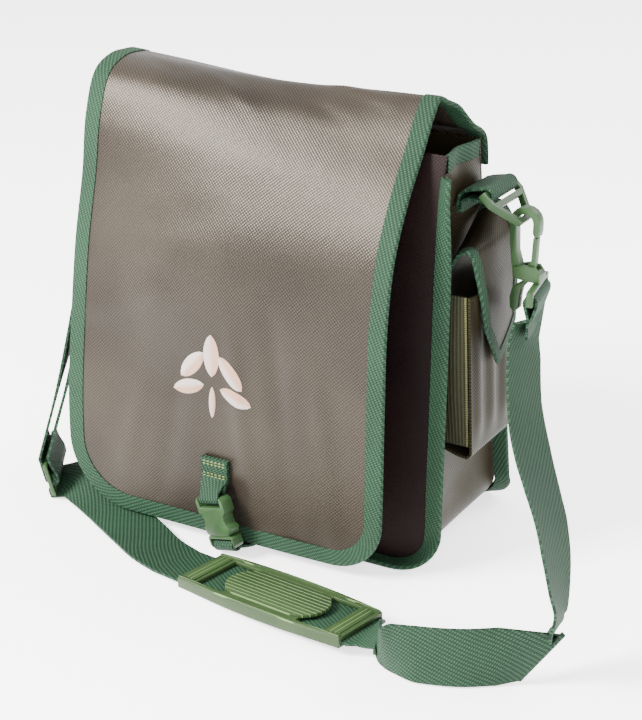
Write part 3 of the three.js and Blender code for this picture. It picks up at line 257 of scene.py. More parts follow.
def panel_point(outer_y, outwards):
    def point(i, j):
        z = BAG_HEIGHT * (j**1.25)
        swell = PANEL_SWELL * sin(pi * i) ** 1.2 * sin(pi * min(1, z / BAG_HEIGHT)) ** 1.5
        y = outer_y(z) + outwards * (swell - CLOTH / 2)
        return panel_half(z) * (2 * i - 1), y, z

    return point


for name, outer_y, outwards, finish, slot in (
    ("front_panel", front_face, -1, dark_canvas, "dark_cloth"),
    ("back_panel", back_y, 1, gusset_canvas, "gusset_cloth"),
):
    point = panel_point(outer_y, outwards)
    bm = cloth_grid(32, 48, point, lambda i, j: (point(i, j)[0], point(i, j)[2]))
    panel = piece(f"{name}_canvas", bm, finish)
    thicken(panel, CLOTH)
    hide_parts(name)


# Gusset: one strip of the same canvas down one side, under the base and up the other, creased
# where the bag leans on itself. Each fold is held in shares of the depth and of the height.
gusset_folds = [
    {"across": 0.36, "up": 0.8, "wide": 0.2, "tall": 0.07, "lean": 2.2, "depth": 1},
    {"across": 0.45, "up": 0.98, "wide": 0.3, "tall": 0.08, "lean": 0, "depth": 0.35},
    {"across": 0.55, "up": 0.14, "wide": 0.32, "tall": 0.07, "lean": -1, "depth": 0.5},
]
TOP_TAPE = 11
GUSSET_TOP = BAG_HEIGHT - TOP_TAPE - GAP


def gusset_inset(across, z):
    up = z / BAG_HEIGHT
    inset = 0
    for fold in gusset_folds:
        a = (across - fold["across"] - fold["lean"] * (up - fold["up"])) / fold["wide"]
        b = (up - fold["up"]) / fold["tall"]
        inset += fold["depth"] * exp(-(a**2) - b**2)
    return GUSSET_TUCK * sin(pi * min(1, max(0, across))) ** 0.8 * inset


def gusset_y(across, z):
    inset = CLOTH + GAP
    front = front_face(z) + inset
    return front + across * (back_y(z) - inset - front)


def seam_path(top, share):
    """A point of the outline that the panels share, from the left top round the base to the right."""
    straight = top - CORNER
    arc = CORNER * pi / 2
    base = BAG_WIDTH - 2 * CORNER
    half = straight + arc + base / 2
    distance = share * 2 * half
    side = -1 if distance <= half else 1
    way = min(distance, 2 * half - distance)
    if way <= straight:
        return side, side * HALF_WIDTH, top - way, 0
    if way <= straight + arc:
        turn = (way - straight) / CORNER
        return side, side * (HALF_WIDTH - CORNER * (1 - cos(turn))), CORNER * (1 - sin(turn)), turn
    return side, side * (HALF_WIDTH - CORNER - (way - straight - arc)), 0, pi / 2


def seam_length(top):
    return 2 * (top - CORNER) + CORNER * pi + BAG_WIDTH - 2 * CORNER


def gusset_point(i, j):
    side, x, z, turn = seam_path(GUSSET_TOP, j)
    depth = gusset_inset(i, z) * cos(turn) + CLOTH / 2
    own_z = z + sin(turn) * depth
    return x - side * cos(turn) * depth, gusset_y(i, own_z), own_z


bm = cloth_grid(24, 170, gusset_point, lambda i, j: (gusset_point(i, j)[1], seam_length(GUSSET_TOP) * j))
gusset = piece("gusset_canvas", bm, gusset_canvas)
thicken(gusset, CLOTH)
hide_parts("gusset")


# Webbing and edge tape: green nylon in a coarse weave, whose floats show as rows of light flecks
# that slant to one side.
FLECK_SLANT = 0.5


def webbing(name, ground, fleck, pitch):
    made, shader, start = material(name, Roughness=0.75, Specular_IOR_Level=0.2)
    cloth, u, v = start.cloth_map()
    place = start.place()
    wide = start.noise(place, 14, 3)
    fine = start.noise(cloth, 900, 2)
    rows = (u + v * FLECK_SLANT).repeats(pitch) * v.repeats(pitch)
    threads = (rows + fine * 0.7).ramp(0.2, 1.05)
    tone = (threads * 0.85 + wide.ramp(0.35, 0.7) * 0.16).tint(ground, fleck)
    wire(shader, "Base Color", tone)
    wire(shader, "Normal", (rows * 0.5 + fine * 0.4).relief(0.75, 0.0005))
    return made


tape_green = webbing("edge tape", (0.002, 0.013, 0.0052), (0.02, 0.062, 0.03), 2.6)
strap_green = webbing("strap webbing", (0.0018, 0.0115, 0.0047), (0.019, 0.06, 0.029), 2.8)

TAPE_THICK = 3.4
TAPE_WIDTH = 11
TAPE_PLY = 0.5
TAPE_EDGE = 0.1


def folded_tape(stations, width, thickness, inner):
    """Tape folded over an edge: stations give the edge, the way onto the cloth and the way out."""
    turn_share = 0.12
    steps = len(stations) - 1
    lengths = [0]
    for before, after in zip(stations, stations[1:]):
        lengths.append(lengths[-1] + (after[0] - before[0]).length)

    def point(i, j):
        edge, onto, out = stations[round(j * steps)]
        side = i * 2 - 1
        radius = (thickness - TAPE_PLY) / 2
        if abs(side) <= turn_share:
            angle = side / turn_share * pi / 2
            return edge + onto * (radius * (1 - cos(angle))) + out * (radius * sin(angle))
        reach = (abs(side) - turn_share) / (1 - turn_share)
        inset = radius + (width - radius) * reach
        lift = radius - (radius - inner / 2 - GAP) * reach**6
        return edge + onto * inset + out * (lift if side > 0 else -lift)

    return cloth_grid(22, steps, point, lambda i, j: (i * 2 * width, lengths[round(j * steps)]))


# Gusset top tapes: the raw top edge of the gusset is bound with the same green tape, folded over
# it and sewn through, one piece on each side of the bag.
for name, side in (("gusset_top_binding_left", -1), ("gusset_top_binding_right", 1)):
    stations = []
    for i in shares(24):
        inset = gusset_inset(i, BAG_HEIGHT - 4)
        edge = Vector((side * (HALF_WIDTH - CLOTH / 2 - inset), gusset_y(i, BAG_HEIGHT), BAG_HEIGHT))
        stations.append((edge, Vector((0, 0, -1)), Vector((side, 0, 0))))
    tape = piece(f"{name}_tape", folded_tape(stations, TOP_TAPE, 3, CLOTH), tape_green)
    thicken(tape, TAPE_PLY, TAPE_EDGE)
    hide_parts(name)


# Seam binding: tape sewn over the raw edges where a panel meets the gusset. It stands out
# sideways along the sides and lies flat, away from the bag, along the base.
def seam_tape(outer_y, outwards, top_lay, top):
    upper = BAG_HEIGHT * LEAN_FROM
    stations = []
    for j in shares(220):
        side, x, z, turn = seam_path(top, j)
        lay = (90 * sin(turn) + top_lay * smooth_step((z - upper) / (GUSSET_TOP - upper))) * pi / 180
        outline = Vector((side * cos(turn), 0, -sin(turn)))
        way = outline * cos(lay) + Vector((0, outwards * sin(lay), 0))
        across = outline * -sin(lay) + Vector((0, outwards * cos(lay), 0))
        seam = Vector((x, outer_y(z) - outwards * CLOTH / 2, z)) - outline * (sin(lay) * TAPE_THICK / 2)
        start = 2 * GAP + sin(lay) * (CLOTH + TAPE_THICK * cos(lay)) / 2
        stations.append((seam + way * (start + TAPE_WIDTH), -way, across))
    return folded_tape(stations, TAPE_WIDTH, TAPE_THICK, TAPE_THICK - 1.4)


for name, outer_y, outwards, top_lay, top in (
    ("front_binding", front_face, -1, 45, GUSSET_TOP - GAP),
    ("back_binding", back_y, 1, 60, GUSSET_TOP * 0.88),
):
    tape = piece(f"{name}_tape", seam_tape(outer_y, outwards, top_lay, top), tape_green)
    thicken(tape, TAPE_PLY, TAPE_EDGE)
    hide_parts(name)


# Flap: one long cloth, sewn to the outside of the back and bent over the ridge, hanging free in
# front. The rows give its two side edges in shares of the way forward and of the height, and the
# flare of the right edge.
FLAP_WIDTH, FLAP_SHIFT, FLAP_REACH, FLAP_RISE, HEM = 240, -8, 36, 30, 7
FLAP_WAVE = 5
FLAP_FLARE = 16
CORNER_LEFT, CORNER_RIGHT = 48, 36
FLAP_TAPE = 12
flap_rows = [
    (-0.08, 0.839, -0.08, 0.839, 1),
    (-0.069, 0.87, -0.069, 0.87, 1),
    (-0.048, 0.903, -0.048, 0.903, 0.97),
    (-0.015, 0.92, 0, 0.918, 0.9),
    (0, 0.943, 0.071, 0.931, 0.81),
    (0.01, 0.963, 0.115, 0.954, 0.56),
    (0.055, 0.986, 0.158, 0.974, 0.37),
    (0.13, 1, 0.24, 0.989, 0.12),
    (0.25, 1.004, 0.31, 1, 0),
    (0.4, 1.004, 0.42, 0.968, 0),
    (0.58, 0.98, 0.56, 0.9, 0),
    (0.7, 0.892, 0.75, 0.815, 0),
    (0.76, 0.767, 0.92, 0.705, 0),
    (0.87, 0.615, 0.995, 0.573, 0),
    (0.95, 0.446, 1.005, 0.413, 0),
    (1.02, 0.246, 1, 0.23, 0),
    (1, 0, 1, 0, 0),
]
flap_waves = [
    {"across": 0.5, "down": 0.16, "wide": 0.32, "tall": 0.09, "out": -0.9},
    {"across": 0.42, "down": 0.53, "wide": 0.3, "tall": 0.2, "out": 1},
    {"across": 0.2, "down": 0.735, "wide": 0.16, "tall": 0.16, "out": -0.5},
    {"across": 0.7, "down": 0.81, "wide": 0.16, "tall": 0.2, "out": 0.5},
]
FLAP_FRONT = FRONT_Y - FLAP_REACH
HINGE_Y = back_y(BAG_HEIGHT) - CLOTH / 2
RIDGE = BAG_HEIGHT + FLAP_RISE


class SmoothLine:
    """A smooth line through points, read at a share of its rows or of its own length."""

    steps = 320

    def __init__(self, points):
        self.points = points
        samples = [self.at(t) for t in shares(self.steps)]
        self.lengths = [0]
        for before, after in zip(samples, samples[1:]):
            self.lengths.append(self.lengths[-1] + (after - before).length)
        self.length = self.lengths[-1]

    def at(self, t):
        spans = len(self.points) - 1
        i = min(spans - 1, int(t * spans))
        w = t * spans - i
        b, c = self.points[i], self.points[i + 1]
        a = self.points[i - 1] if i > 0 else b * 2 - c
        d = self.points[i + 2] if i + 2 <= spans else c * 2 - b
        ab, bc, cd = sqrt((b - a).length), sqrt((c - b).length), sqrt((d - c).length)
        start = ((b - a) / ab - (c - a) / (ab + bc) + (c - b) / bc) * bc
        end = ((c - b) / bc - (d - b) / (bc + cd) + (d - c) / cd) * bc
        square = (c - b) * 3 - start * 2 - end
        cube = (b - c) * 2 + start + end
        return b + start * w + square * w**2 + cube * w**3

    def along(self, share):
        want = min(1, max(0, share)) * self.length
        i = min(self.steps - 1, bisect_right(self.lengths, want) - 1)
        step = self.lengths[i + 1] - self.lengths[i]
        return self.at((i + (want - self.lengths[i]) / step) / self.steps)


def flap_edge(forward, up, x, flare):
    points = []
    for row in flap_rows:
        y = HINGE_Y + (FLAP_FRONT - HINGE_Y) * row[forward]
        points.append(Vector((x + flare * row[4], y, HEM + (RIDGE - HEM) * row[up])))
    return SmoothLine(points)


flap_left = flap_edge(0, 1, FLAP_SHIFT - FLAP_WIDTH / 2, 0)
flap_right = flap_edge(2, 3, FLAP_SHIFT + FLAP_WIDTH / 2, FLAP_FLARE)
FLAP_LENGTH = (flap_left.length + flap_right.length) / 2


def flap_surface(u, v):
    """A point of the flap, at u across from its middle and v down from the top of the back."""
    across = u / FLAP_WIDTH + 0.5
    down = min(1, max(0, v / FLAP_LENGTH))
    at = flap_left.along(down).lerp(flap_right.along(down), across)
    before, after = max(0, down - 0.002), min(1, down + 0.002)
    run_left = flap_left.along(after) - flap_left.along(before)
    run_right = flap_right.along(after) - flap_right.along(before)
    out = run_left.lerp(run_right, across).cross(Vector((1, 0, 0))).normalized()
    wave = 0
    for row in flap_waves:
        a = (across - row["across"]) / row["wide"]
        b = (down - row["down"]) / row["tall"]
        wave += row["out"] * exp(-(a**2) - b**2)
    at += out * (FLAP_WAVE * wave * max(0, 1 - abs(2 * across - 1) ** 4))
    return at


def flap_out(u, v):
    along = flap_surface(u + 1, v) - flap_surface(u - 1, v)
    down = flap_surface(u, min(v + 1, FLAP_LENGTH)) - flap_surface(u, v - 1)
    return down.cross(along).normalized()


def flap_half(side, v, inset):
    radius = CORNER_LEFT if side < 0 else CORNER_RIGHT
    low = max(0, v - (FLAP_LENGTH - radius))
    inner = radius - inset
    return side * (FLAP_WIDTH / 2 - radius + sqrt(max(0, inner**2 - low**2)))


# Soft creases of the hanging cloth: each runs from one place to another, in shares across and down
# the flap. Deep is how far it stands out, in millimetres.
flap_creases = [
    {"from": (0.62, 0.98), "to": (0.54, 0.62), "wide": 0.026, "deep": 1.7},
    {"from": (0.74, 0.98), "to": (0.66, 0.58), "wide": 0.03, "deep": -1.8},
    {"from": (0.86, 0.97), "to": (0.8, 0.66), "wide": 0.028, "deep": 1.5},
    {"from": (0.3, 0.97), "to": (0.38, 0.7), "wide": 0.034, "deep": -1.3},
    {"from": (0.18, 0.93), "to": (0.26, 0.74), "wide": 0.03, "deep": 1.2},
    {"from": (0.06, 0.66), "to": (0.34, 0.58), "wide": 0.04, "deep": 1.1},
    {"from": (0.08, 0.5), "to": (0.5, 0.44), "wide": 0.05, "deep": -0.8},
    {"from": (0.3, 0.2), "to": (0.5, 0.26), "wide": 0.014, "deep": 0.9},
    {"from": (0.55, 0.21), "to": (0.76, 0.25), "wide": 0.012, "deep": -0.9},
    {"from": (0.66, 0.17), "to": (0.9, 0.21), "wide": 0.012, "deep": 1},
    {"from": (0.1, 0.19), "to": (0.26, 0.23), "wide": 0.012, "deep": -0.7},
]


def crease_height(across, down):
    height = 0
    for row in flap_creases:
        (ax, ay), (bx, by) = row["from"], row["to"]
        run_x, run_y = bx - ax, (by - ay) * 1.6
        at_x, at_y = across - ax, (down - ay) * 1.6
        share = (at_x * run_x + at_y * run_y) / (run_x**2 + run_y**2)
        off = (at_x * run_y - at_y * run_x) / hypot(run_x, run_y)
        held = smooth_step((share + 0.15) / 0.4) * smooth_step((1.15 - share) / 0.4)
        height += row["deep"] * held * exp(-((off / row["wide"]) ** 2))
    return height


def flap_place(i, j):
    v = 1 + (FLAP_LENGTH - 2.5 - 1) * j
    left, right = flap_half(-1, v, 2.5), flap_half(1, v, 2.5)
    return mix(left, right, i), v


def flap_point(i, j):
    u, v = flap_place(i, j)
    at = flap_surface(u, v)
    return at + flap_out(u, v) * crease_height(u / FLAP_WIDTH + 0.5, v / FLAP_LENGTH)


flap = piece("flap_canvas", cloth_grid(60, 96, flap_point, flap_place), flap_canvas)
thicken(flap, CLOTH)
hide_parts("flap")


# Flap binding: the same tape, sewn over the flap's edge down one side, round both lower corners
# and up the other side.
def flap_border(share):
    half = FLAP_WIDTH / 2
    left_run, right_run = FLAP_LENGTH - CORNER_LEFT, FLAP_LENGTH - CORNER_RIGHT
    left_arc, right_arc = CORNER_LEFT * pi / 2, CORNER_RIGHT * pi / 2
    base = FLAP_WIDTH - CORNER_LEFT - CORNER_RIGHT
    way = share * (left_run + left_arc + base + right_arc + right_run)
    if way < left_run:
        return -half, way, 1, 0
    way -= left_run
    if way < left_arc:
        c, s = cos(way / CORNER_LEFT), sin(way / CORNER_LEFT)
        return -half + CORNER_LEFT * (1 - c), FLAP_LENGTH - CORNER_LEFT * (1 - s), c, -s
    way -= left_arc
    if way < base:
        return -half + CORNER_LEFT + way, FLAP_LENGTH, 0, -1
    way -= base
    if way < right_arc:
        s, c = sin(way / CORNER_RIGHT), cos(way / CORNER_RIGHT)
        return half - CORNER_RIGHT * (1 - s), FLAP_LENGTH - CORNER_RIGHT * (1 - c), -s, -c
    way -= right_arc
    return half, max(0, right_run - way), -1, 0


def border_stations(surface, out_way, border, steps, width):
    stations = []
    for j in shares(steps):
        u, v, in_u, in_v = border(j)
        edge = surface(u, v)
        inner = surface(u + in_u * width, v + in_v * width)
        stations.append((edge, (inner - edge) / width, out_way(u + in_u * 2, v + in_v * 2)))
    return stations


stations = border_stations(flap_surface, flap_out, flap_border, 300, FLAP_TAPE)
bm = folded_tape(stations, FLAP_TAPE, TAPE_THICK, CLOTH)
flap_tape = piece("flap_binding_tape", bm, tape_green)
thicken(flap_tape, TAPE_PLY, TAPE_EDGE)
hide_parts("flap_binding")


# Flat webbing, woven in nylon and cut to length: its sections hold the middle of the strap, the way
# across it and how far it spreads.
def ribbon(name, sections, width, thickness, columns=8):
    steps = len(sections) - 1
    lengths = [0]
    for before, after in zip(sections, sections[1:]):
        lengths.append(lengths[-1] + (after[0] - before[0]).length)

    def point(i, j):
        at, across, spread = sections[round(j * steps)]
        return at + across * ((i - 0.5) * width * spread)

    bm = cloth_grid(columns, steps, point, lambda i, j: (i * width, lengths[round(j * steps)]))
    made = piece(name, bm, strap_green)
    return thicken(made, thickness, thickness * 0.2)


def smooth_sections(sections, steps):
    """More sections between the given ones, on a smooth line through them."""
    line = SmoothLine([at for at, across, spread in sections])
    made = []
    for t in shares(steps):
        i = min(len(sections) - 2, int(t * (len(sections) - 1)))
        part = t * (len(sections) - 1) - i
        across = sections[i][1].lerp(sections[i + 1][1], part).normalized()
        made.append((line.at(t), across, mix(sections[i][2], sections[i + 1][2], part)))
    return made


def wrap_radius(bar_width, thickness, ply):
    return (hypot(bar_width, thickness) / 2 + ply / 2 + GAP) / cos(radians(15))


# Closure: a side-release buckle hangs from a webbing tab on the flap, and the lower webbing comes
# from the front panel under the hem to the buckle's second half.
CLOSURE_WIDTH, CLOSURE_THICK = 20, 1.6
TAB_TOP = 65
BUCKLE_THICK, BUCKLE_LENGTH, MALE_LENGTH, BUCKLE_TOP, BUCKLE_GAP = 9, 26.5, 9, 41, 6.5
BAR, BAR_THICK = 2.6, 3.4
tilt, yaw = radians(20), radians(-18)
buckle_up = Vector((-sin(tilt), 0, cos(tilt)))
buckle_face = Vector((sin(yaw), -cos(yaw), 0))
buckle_across = buckle_up.cross(buckle_face).normalized()
buckle_face = buckle_across.cross(buckle_up)
tab_x = FLAP_SHIFT - 1
buckle_at = Vector((tab_x + 2, FLAP_FRONT - TAPE_THICK / 2 - BUCKLE_THICK / 2 - BUCKLE_GAP, BUCKLE_TOP))
wrap = wrap_radius(BAR, BAR_THICK, CLOSURE_THICK)


def around(bar, degrees):
    a = radians(degrees)
    return bar + buckle_face * (wrap * cos(a)) + buckle_up * (wrap * sin(a))


def on_flap(z, plies):
    lift = CLOTH / 2 + CLOSURE_THICK / 2 + GAP + (GAP + CLOSURE_THICK) * plies
    surface = flap_surface(tab_x - FLAP_SHIFT, FLAP_LENGTH - (z - HEM))
    return Vector((tab_x, surface.y - lift - GAP, surface.z))


level = Vector((1, 0, 0))
half_turned = level.lerp(buckle_across, 0.5).normalized()
tab_free = BUCKLE_TOP + (TAB_TOP - BUCKLE_TOP) * 0.4
tab_heights = [TAB_TOP, (TAB_TOP + tab_free) / 2, tab_free]
top_bar = buckle_at - buckle_up * (BAR / 2)
tab_sections = [(on_flap(z, 1), level, 1) for z in tab_heights]
tab_sections.append((on_flap(tab_free, 1).lerp(around(top_bar, 40), 0.35), half_turned, 1))
tab_sections.append((on_flap(tab_free, 1).lerp(around(top_bar, 40), 0.75), buckle_across, 1))
tab_sections += [(around(top_bar, a), buckle_across, 1) for a in range(10, -171, -15)]
tab_sections.append((on_flap(tab_free, 0).lerp(around(top_bar, 150), 0.75), buckle_across, 1))
tab_sections.append((on_flap(tab_free, 0).lerp(around(top_bar, 150), 0.35), half_turned, 1))
tab_sections += [(on_flap(z, 0), level, 1) for z in reversed(tab_heights)]
tab_sections = smooth_sections(tab_sections, 90)
tab = ribbon("closure_tab_webbing", tab_sections, CLOSURE_WIDTH, CLOSURE_THICK)
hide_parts("closure_tab")

# Rows of yellow-green thread, sewn through both plies of the tab, with a short bead for each stitch.
stitch_thread = material("yellow thread", Base_Color=(0.13, 0.15, 0.03, 1), Roughness=0.6)[0]
STITCH = 2.6
half_row = CLOSURE_WIDTH / 2 - 1.2
count = int(2 * half_row / STITCH)
for n, height in enumerate((TAB_TOP - 2.4, TAB_TOP - 4.4, tab_free + 3.4, tab_free + 1.4)):
    row = on_flap(height, 1) - Vector((half_row, CLOSURE_THICK / 2 + 0.05, 0))
    bm = bmesh.new()
    for k in range(count):
        at = row + Vector((2 * half_row * (k + 0.5) / count, 0, 0))
        bead = bmesh.ops.create_uvsphere(bm, u_segments=8, v_segments=6, radius=1)["verts"]
        for vertex in bead:
            x, y, z = vertex.co
            vertex.co = (at + Vector((x * STITCH * 0.4, -z * 0.3, y * 0.42))) * MM
    piece(f"closure_tab_stitches_{n + 1}", bm, stitch_thread)

male_bar = buckle_at + buckle_up * (-BUCKLE_LENGTH - GAP - MALE_LENGTH + BAR / 2)
lower_rows = [(0.06, 0.83), (0.06, 0.39), (0.14, 0.19), (0.38, 0.1), (0.75, 0.06)]
lower_sections = [
    (Vector((male_bar.x, FRONT_Y - CLOTH - FLAP_REACH * forward, BUCKLE_TOP * up)), level, 1)
    for forward, up in lower_rows
]
lower_sections += [(around(male_bar, a), buckle_across, 1) for a in range(230, 441, 15)]
lower_sections = smooth_sections(lower_sections, 80)
lower = ribbon("buckle_webbing_strap", lower_sections, CLOSURE_WIDTH, CLOSURE_THICK)
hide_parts("buckle_webbing")


# Moulded plastic: sage green acetal with a fine satin surface. Each part is the solid with its
# edges rounded, as it leaves the mould.
def plastic(name, shade, light, roughness):
    made, shader, start = material(name, Specular_IOR_Level=0.25)
    place = start.place()
    wide = start.noise(place, 40, 3)
    fine = start.noise(place, 900, 2)
    wire(shader, "Base Color", (wide * 0.7 + fine * 0.3).ramp(0.3, 0.72).tint(shade, light))
    wire(shader, "Roughness", wide * 0.2 + roughness)
    wire(shader, "Normal", fine.relief(0.12, 0.0003))
    return made


sage = plastic("sage plastic", (0.012, 0.034, 0.01), (0.024, 0.058, 0.018), 0.32)


def round_edges(bm, edges, rounding, segments):
    bmesh.ops.bevel(
        bm, geom=edges, offset=rounding, offset_type="OFFSET", segments=segments,
        profile=0.5, affect="EDGES", clamp_overlap=True, material=-1,
    )


def moulded(node, finish, rounding, body="root"):
    bm = bmesh.new()
    bm.from_mesh(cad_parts[node].data)
    bmesh.ops.remove_doubles(bm, verts=bm.verts, dist=1e-6)
    bmesh.ops.dissolve_limit(bm, angle_limit=radians(2), verts=bm.verts, edges=bm.edges)
    sharp = [e for e in bm.edges if len(e.link_faces) == 2 and e.calc_face_angle(0) > radians(32)]
    round_edges(bm, sharp, rounding * MM, 3)
    made = piece(f"{node}_moulding", bm, finish, body)
    made.data.set_sharp_from_angle(angle=radians(40))
    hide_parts(node)
    return made


for node, rounding, body in (
    ("buckle_female", 0.9, "root"),
    ("buckle_male", 0.9, "root"),
    ("ring_right", 0.9, "root"),
    ("ring_left", 0.9, "root"),
    ("hook_body", 0.9, "root"),
    ("hook_gate", 0.7, "gate"),
    ("hook_swivel", 0.7, "root"),
    ("strap_slider", 0.7, "root"),
):
    moulded(node, sage, rounding, body=body)


# Side pocket: two ribbed elastic bands, sewn to the gusset, hold a pleated front of the gusset's
# canvas, so that a phone is gripped.
POCKET_WIDTH, POCKET_DEPTH, POCKET_BOTTOM, POCKET_HEIGHT = 62, 20, 84, 106
POCKET_LEAN, POCKET_MIDDLE = 0.12, -8
POCKET_WALL = HALF_WIDTH + GAP
POCKET_FRONT = POCKET_WALL + POCKET_DEPTH
PLEAT = 2


def pocket_y(share, z):
    return POCKET_MIDDLE + POCKET_WIDTH * (share - 0.5) - POCKET_LEAN * (z - POCKET_BOTTOM)


def ribbed(name, ground, rib, thread):
    made, shader, start = material(name, Roughness=0.8, Specular_IOR_Level=0.2)
    u, v = start.cloth_map()[1:]
    ribs, picks = u.repeats(2.4), v.repeats(1.3)
    edge = u.maths("LESS_THAN", u, 0.0014) + u.maths("GREATER_THAN", u, 0.0186)
    tone = (ribs * 0.4 + picks * 0.3 + 0.4).ramp(0, 1.1).tint(ground, rib)
    yellow = (edge * (picks * 0.5 + 0.5)).tint(tone, thread)
    wire(shader, "Base Color", yellow)
    wire(shader, "Normal", (ribs * 0.6 + picks * 0.3).relief(0.6, 0.0005))
    return made


band_ribbed = ribbed("ribbed band", (0.008, 0.0078, 0.003), (0.028, 0.029, 0.011), (0.11, 0.115, 0.04))

for name, share, inwards in (("pocket_band_front", 0, 1), ("pocket_band_rear", 1, -1)):
    depth = POCKET_DEPTH - 3 * GAP

    def band_point(i, j):
        z = POCKET_BOTTOM + POCKET_HEIGHT * j
        belly = 3 * sin(pi * j) * sin(pi * i)
        return POCKET_WALL + depth * i, pocket_y(share, z) - inwards * (belly - CLOTH / 2), z

    bm = cloth_grid(12, 40, band_point, lambda i, j: (i * 20, j * POCKET_HEIGHT))
    band = piece(f"{name}_elastic", bm, band_ribbed)
    thicken(band, CLOTH - 0.4)
    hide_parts(name)

base_share = POCKET_DEPTH / (POCKET_DEPTH + POCKET_HEIGHT)


def pocket_point(i, j):
    if j < base_share:
        t = j / base_share
        x = POCKET_WALL + POCKET_DEPTH * t * 0.98
        z = POCKET_BOTTOM - CLOTH - GAP - 5 * sin(pi * t * 0.5) - CLOTH / 2
        return x, pocket_y(i, z), z
    t = (j - base_share) / (1 - base_share)
    z = POCKET_BOTTOM - CLOTH * 3 + (POCKET_HEIGHT + CLOTH * 3) * t
    wave = PLEAT * (0.5 - 0.5 * cos(6 * pi * i)) * smooth_step(t * 4)
    return POCKET_FRONT + CLOTH / 2 + wave, pocket_y(i, z), z


bm = cloth_grid(72, 60, pocket_point, lambda i, j: (i * POCKET_WIDTH, j * (POCKET_DEPTH + POCKET_HEIGHT)))
pocket = piece("pocket_front_cloth", bm, gusset_canvas)
thicken(pocket, CLOTH)
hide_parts("pocket_front")


# Pocket lid: a pointed flap of the same canvas, sewn to the gusset and folded down over the pocket.
LID_WIDTH, LID_TAPE, TIP_DROP, LID_BELLY, TIP_AT, LID_TOP = 64, 8, 26, 1, 0.42, 0.5
LID_CLOTH, LID_TAPE_THICK = 1.8, 2.8
lid_rows = [
    {"front": (0, -0.54, 1.07), "rear": (0, 0.25, 1.4)},
    {"front": (0.5, -0.65, 1.24), "rear": (0.5, 0.33, 1.43)},
    {"front": (0.92, -0.68, 1.27), "rear": (0.94, 0.36, 1.32)},
    {"front": (1.17, -0.62, 1.1), "rear": (1.19, 0.32, 1.08)},
    {"front": (1.27, -0.54, 0.92), "rear": (1.27, 0.28, 0.86)},
    {"front": (1.3, -0.46, 0.76), "rear": (1.3, 0.26, 0.7)},
]


def lid_edge(side):
    points = []
    for row in lid_rows:
        out, y, up = row[side]
        x = HALF_WIDTH + GAP + CLOTH / 2 + POCKET_DEPTH * out
        points.append(Vector((x, POCKET_MIDDLE + LID_WIDTH * y, POCKET_BOTTOM + POCKET_HEIGHT * up)))
    return SmoothLine(points)


lid_front, lid_rear = lid_edge("front"), lid_edge("rear")
LID_LENGTH = (lid_front.length + lid_rear.length) / 2


def lid_surface(u, v):
    across = u / LID_WIDTH + 0.5
    down = max(0, v / LID_LENGTH)
    over = max(0, down - 1) * LID_LENGTH
    at = lid_front.along(min(1, down)).lerp(lid_rear.along(min(1, down)), across)
    at.x += LID_BELLY * sin(pi * min(1, max(0, across))) * smooth_step(down)
    at.z -= over
    return at


def lid_out(u, v):
    along = lid_surface(u + 0.5, v) - lid_surface(u - 0.5, v)
    down = lid_surface(u, v + 0.5) - lid_surface(u, max(0, v - 0.5))
    return along.cross(down).normalized()


def lid_end(u):
    across = u / LID_WIDTH + 0.5
    fall = across / TIP_AT if across < TIP_AT else (1 - across) / (1 - TIP_AT)
    return LID_LENGTH + TIP_DROP * max(0, fall)


def lid_place(i, j):
    u = (LID_WIDTH / 2 - 2) * (2 * i - 1)
    return u, mix(LID_TOP, lid_end(u) - 3, j)


bm = cloth_grid(30, 60, lambda i, j: lid_surface(*lid_place(i, j)), lid_place)
lid = piece("pocket_lid_cloth", bm, gusset_canvas)
thicken(lid, LID_CLOTH)
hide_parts("pocket_lid")

front_slope = atan2(TIP_DROP, LID_WIDTH * TIP_AT)
rear_slope = atan2(TIP_DROP, LID_WIDTH * (1 - TIP_AT))


def lid_border(share):
    half = LID_WIDTH / 2
    tip = LID_WIDTH * (TIP_AT - 0.5)
    side = LID_LENGTH - LID_TOP
    front_run = hypot(tip + half, TIP_DROP)
    rear_run = hypot(half - tip, TIP_DROP)
    way = share * (2 * side + front_run + rear_run)
    soft = 3
    if way < side:
        bend = smooth_step((way - side + soft) / (2 * soft))
        return -half, LID_TOP + way, 1 - bend * 0.15, -bend * 0.36
    way -= side
    if way < front_run:
        t = way / front_run
        bend = 0.5 + 0.5 * smooth_step(way / soft)
        near_tip = smooth_step((way - front_run + soft) / soft)
        in_u = mix(mix(0.85, sin(front_slope), bend), 0, near_tip)
        in_v = mix(mix(-0.36, -cos(front_slope), bend), -1.1, near_tip)
        return -half + (tip + half) * t, LID_LENGTH + TIP_DROP * t, in_u, in_v
    way -= front_run
    if way < rear_run:
        t = way / rear_run
        near_tip = 1 - smooth_step(way / soft)
        bend = 0.5 + 0.5 * smooth_step((rear_run - way) / soft)
        in_u = mix(mix(-0.85, -sin(rear_slope), bend), 0, near_tip)
        in_v = mix(mix(-0.36, -cos(rear_slope), bend), -1.1, near_tip)
        return tip + (half - tip) * t, LID_LENGTH + TIP_DROP * (1 - t), in_u, in_v
    way -= rear_run
    bend = 0.5 * (1 - smooth_step(way / soft))
    return half, LID_LENGTH - way, -1 + bend * 0.3, -bend * 0.72


stations = border_stations(lid_surface, lid_out, lid_border, 160, LID_TAPE)
bm = folded_tape(stations, LID_TAPE, LID_TAPE_THICK, LID_CLOTH)
lid_tape = piece("pocket_lid_tape", bm, tape_green)
thicken(lid_tape, TAPE_PLY * 0.8, TAPE_EDGE)
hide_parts("pocket_lid_binding")


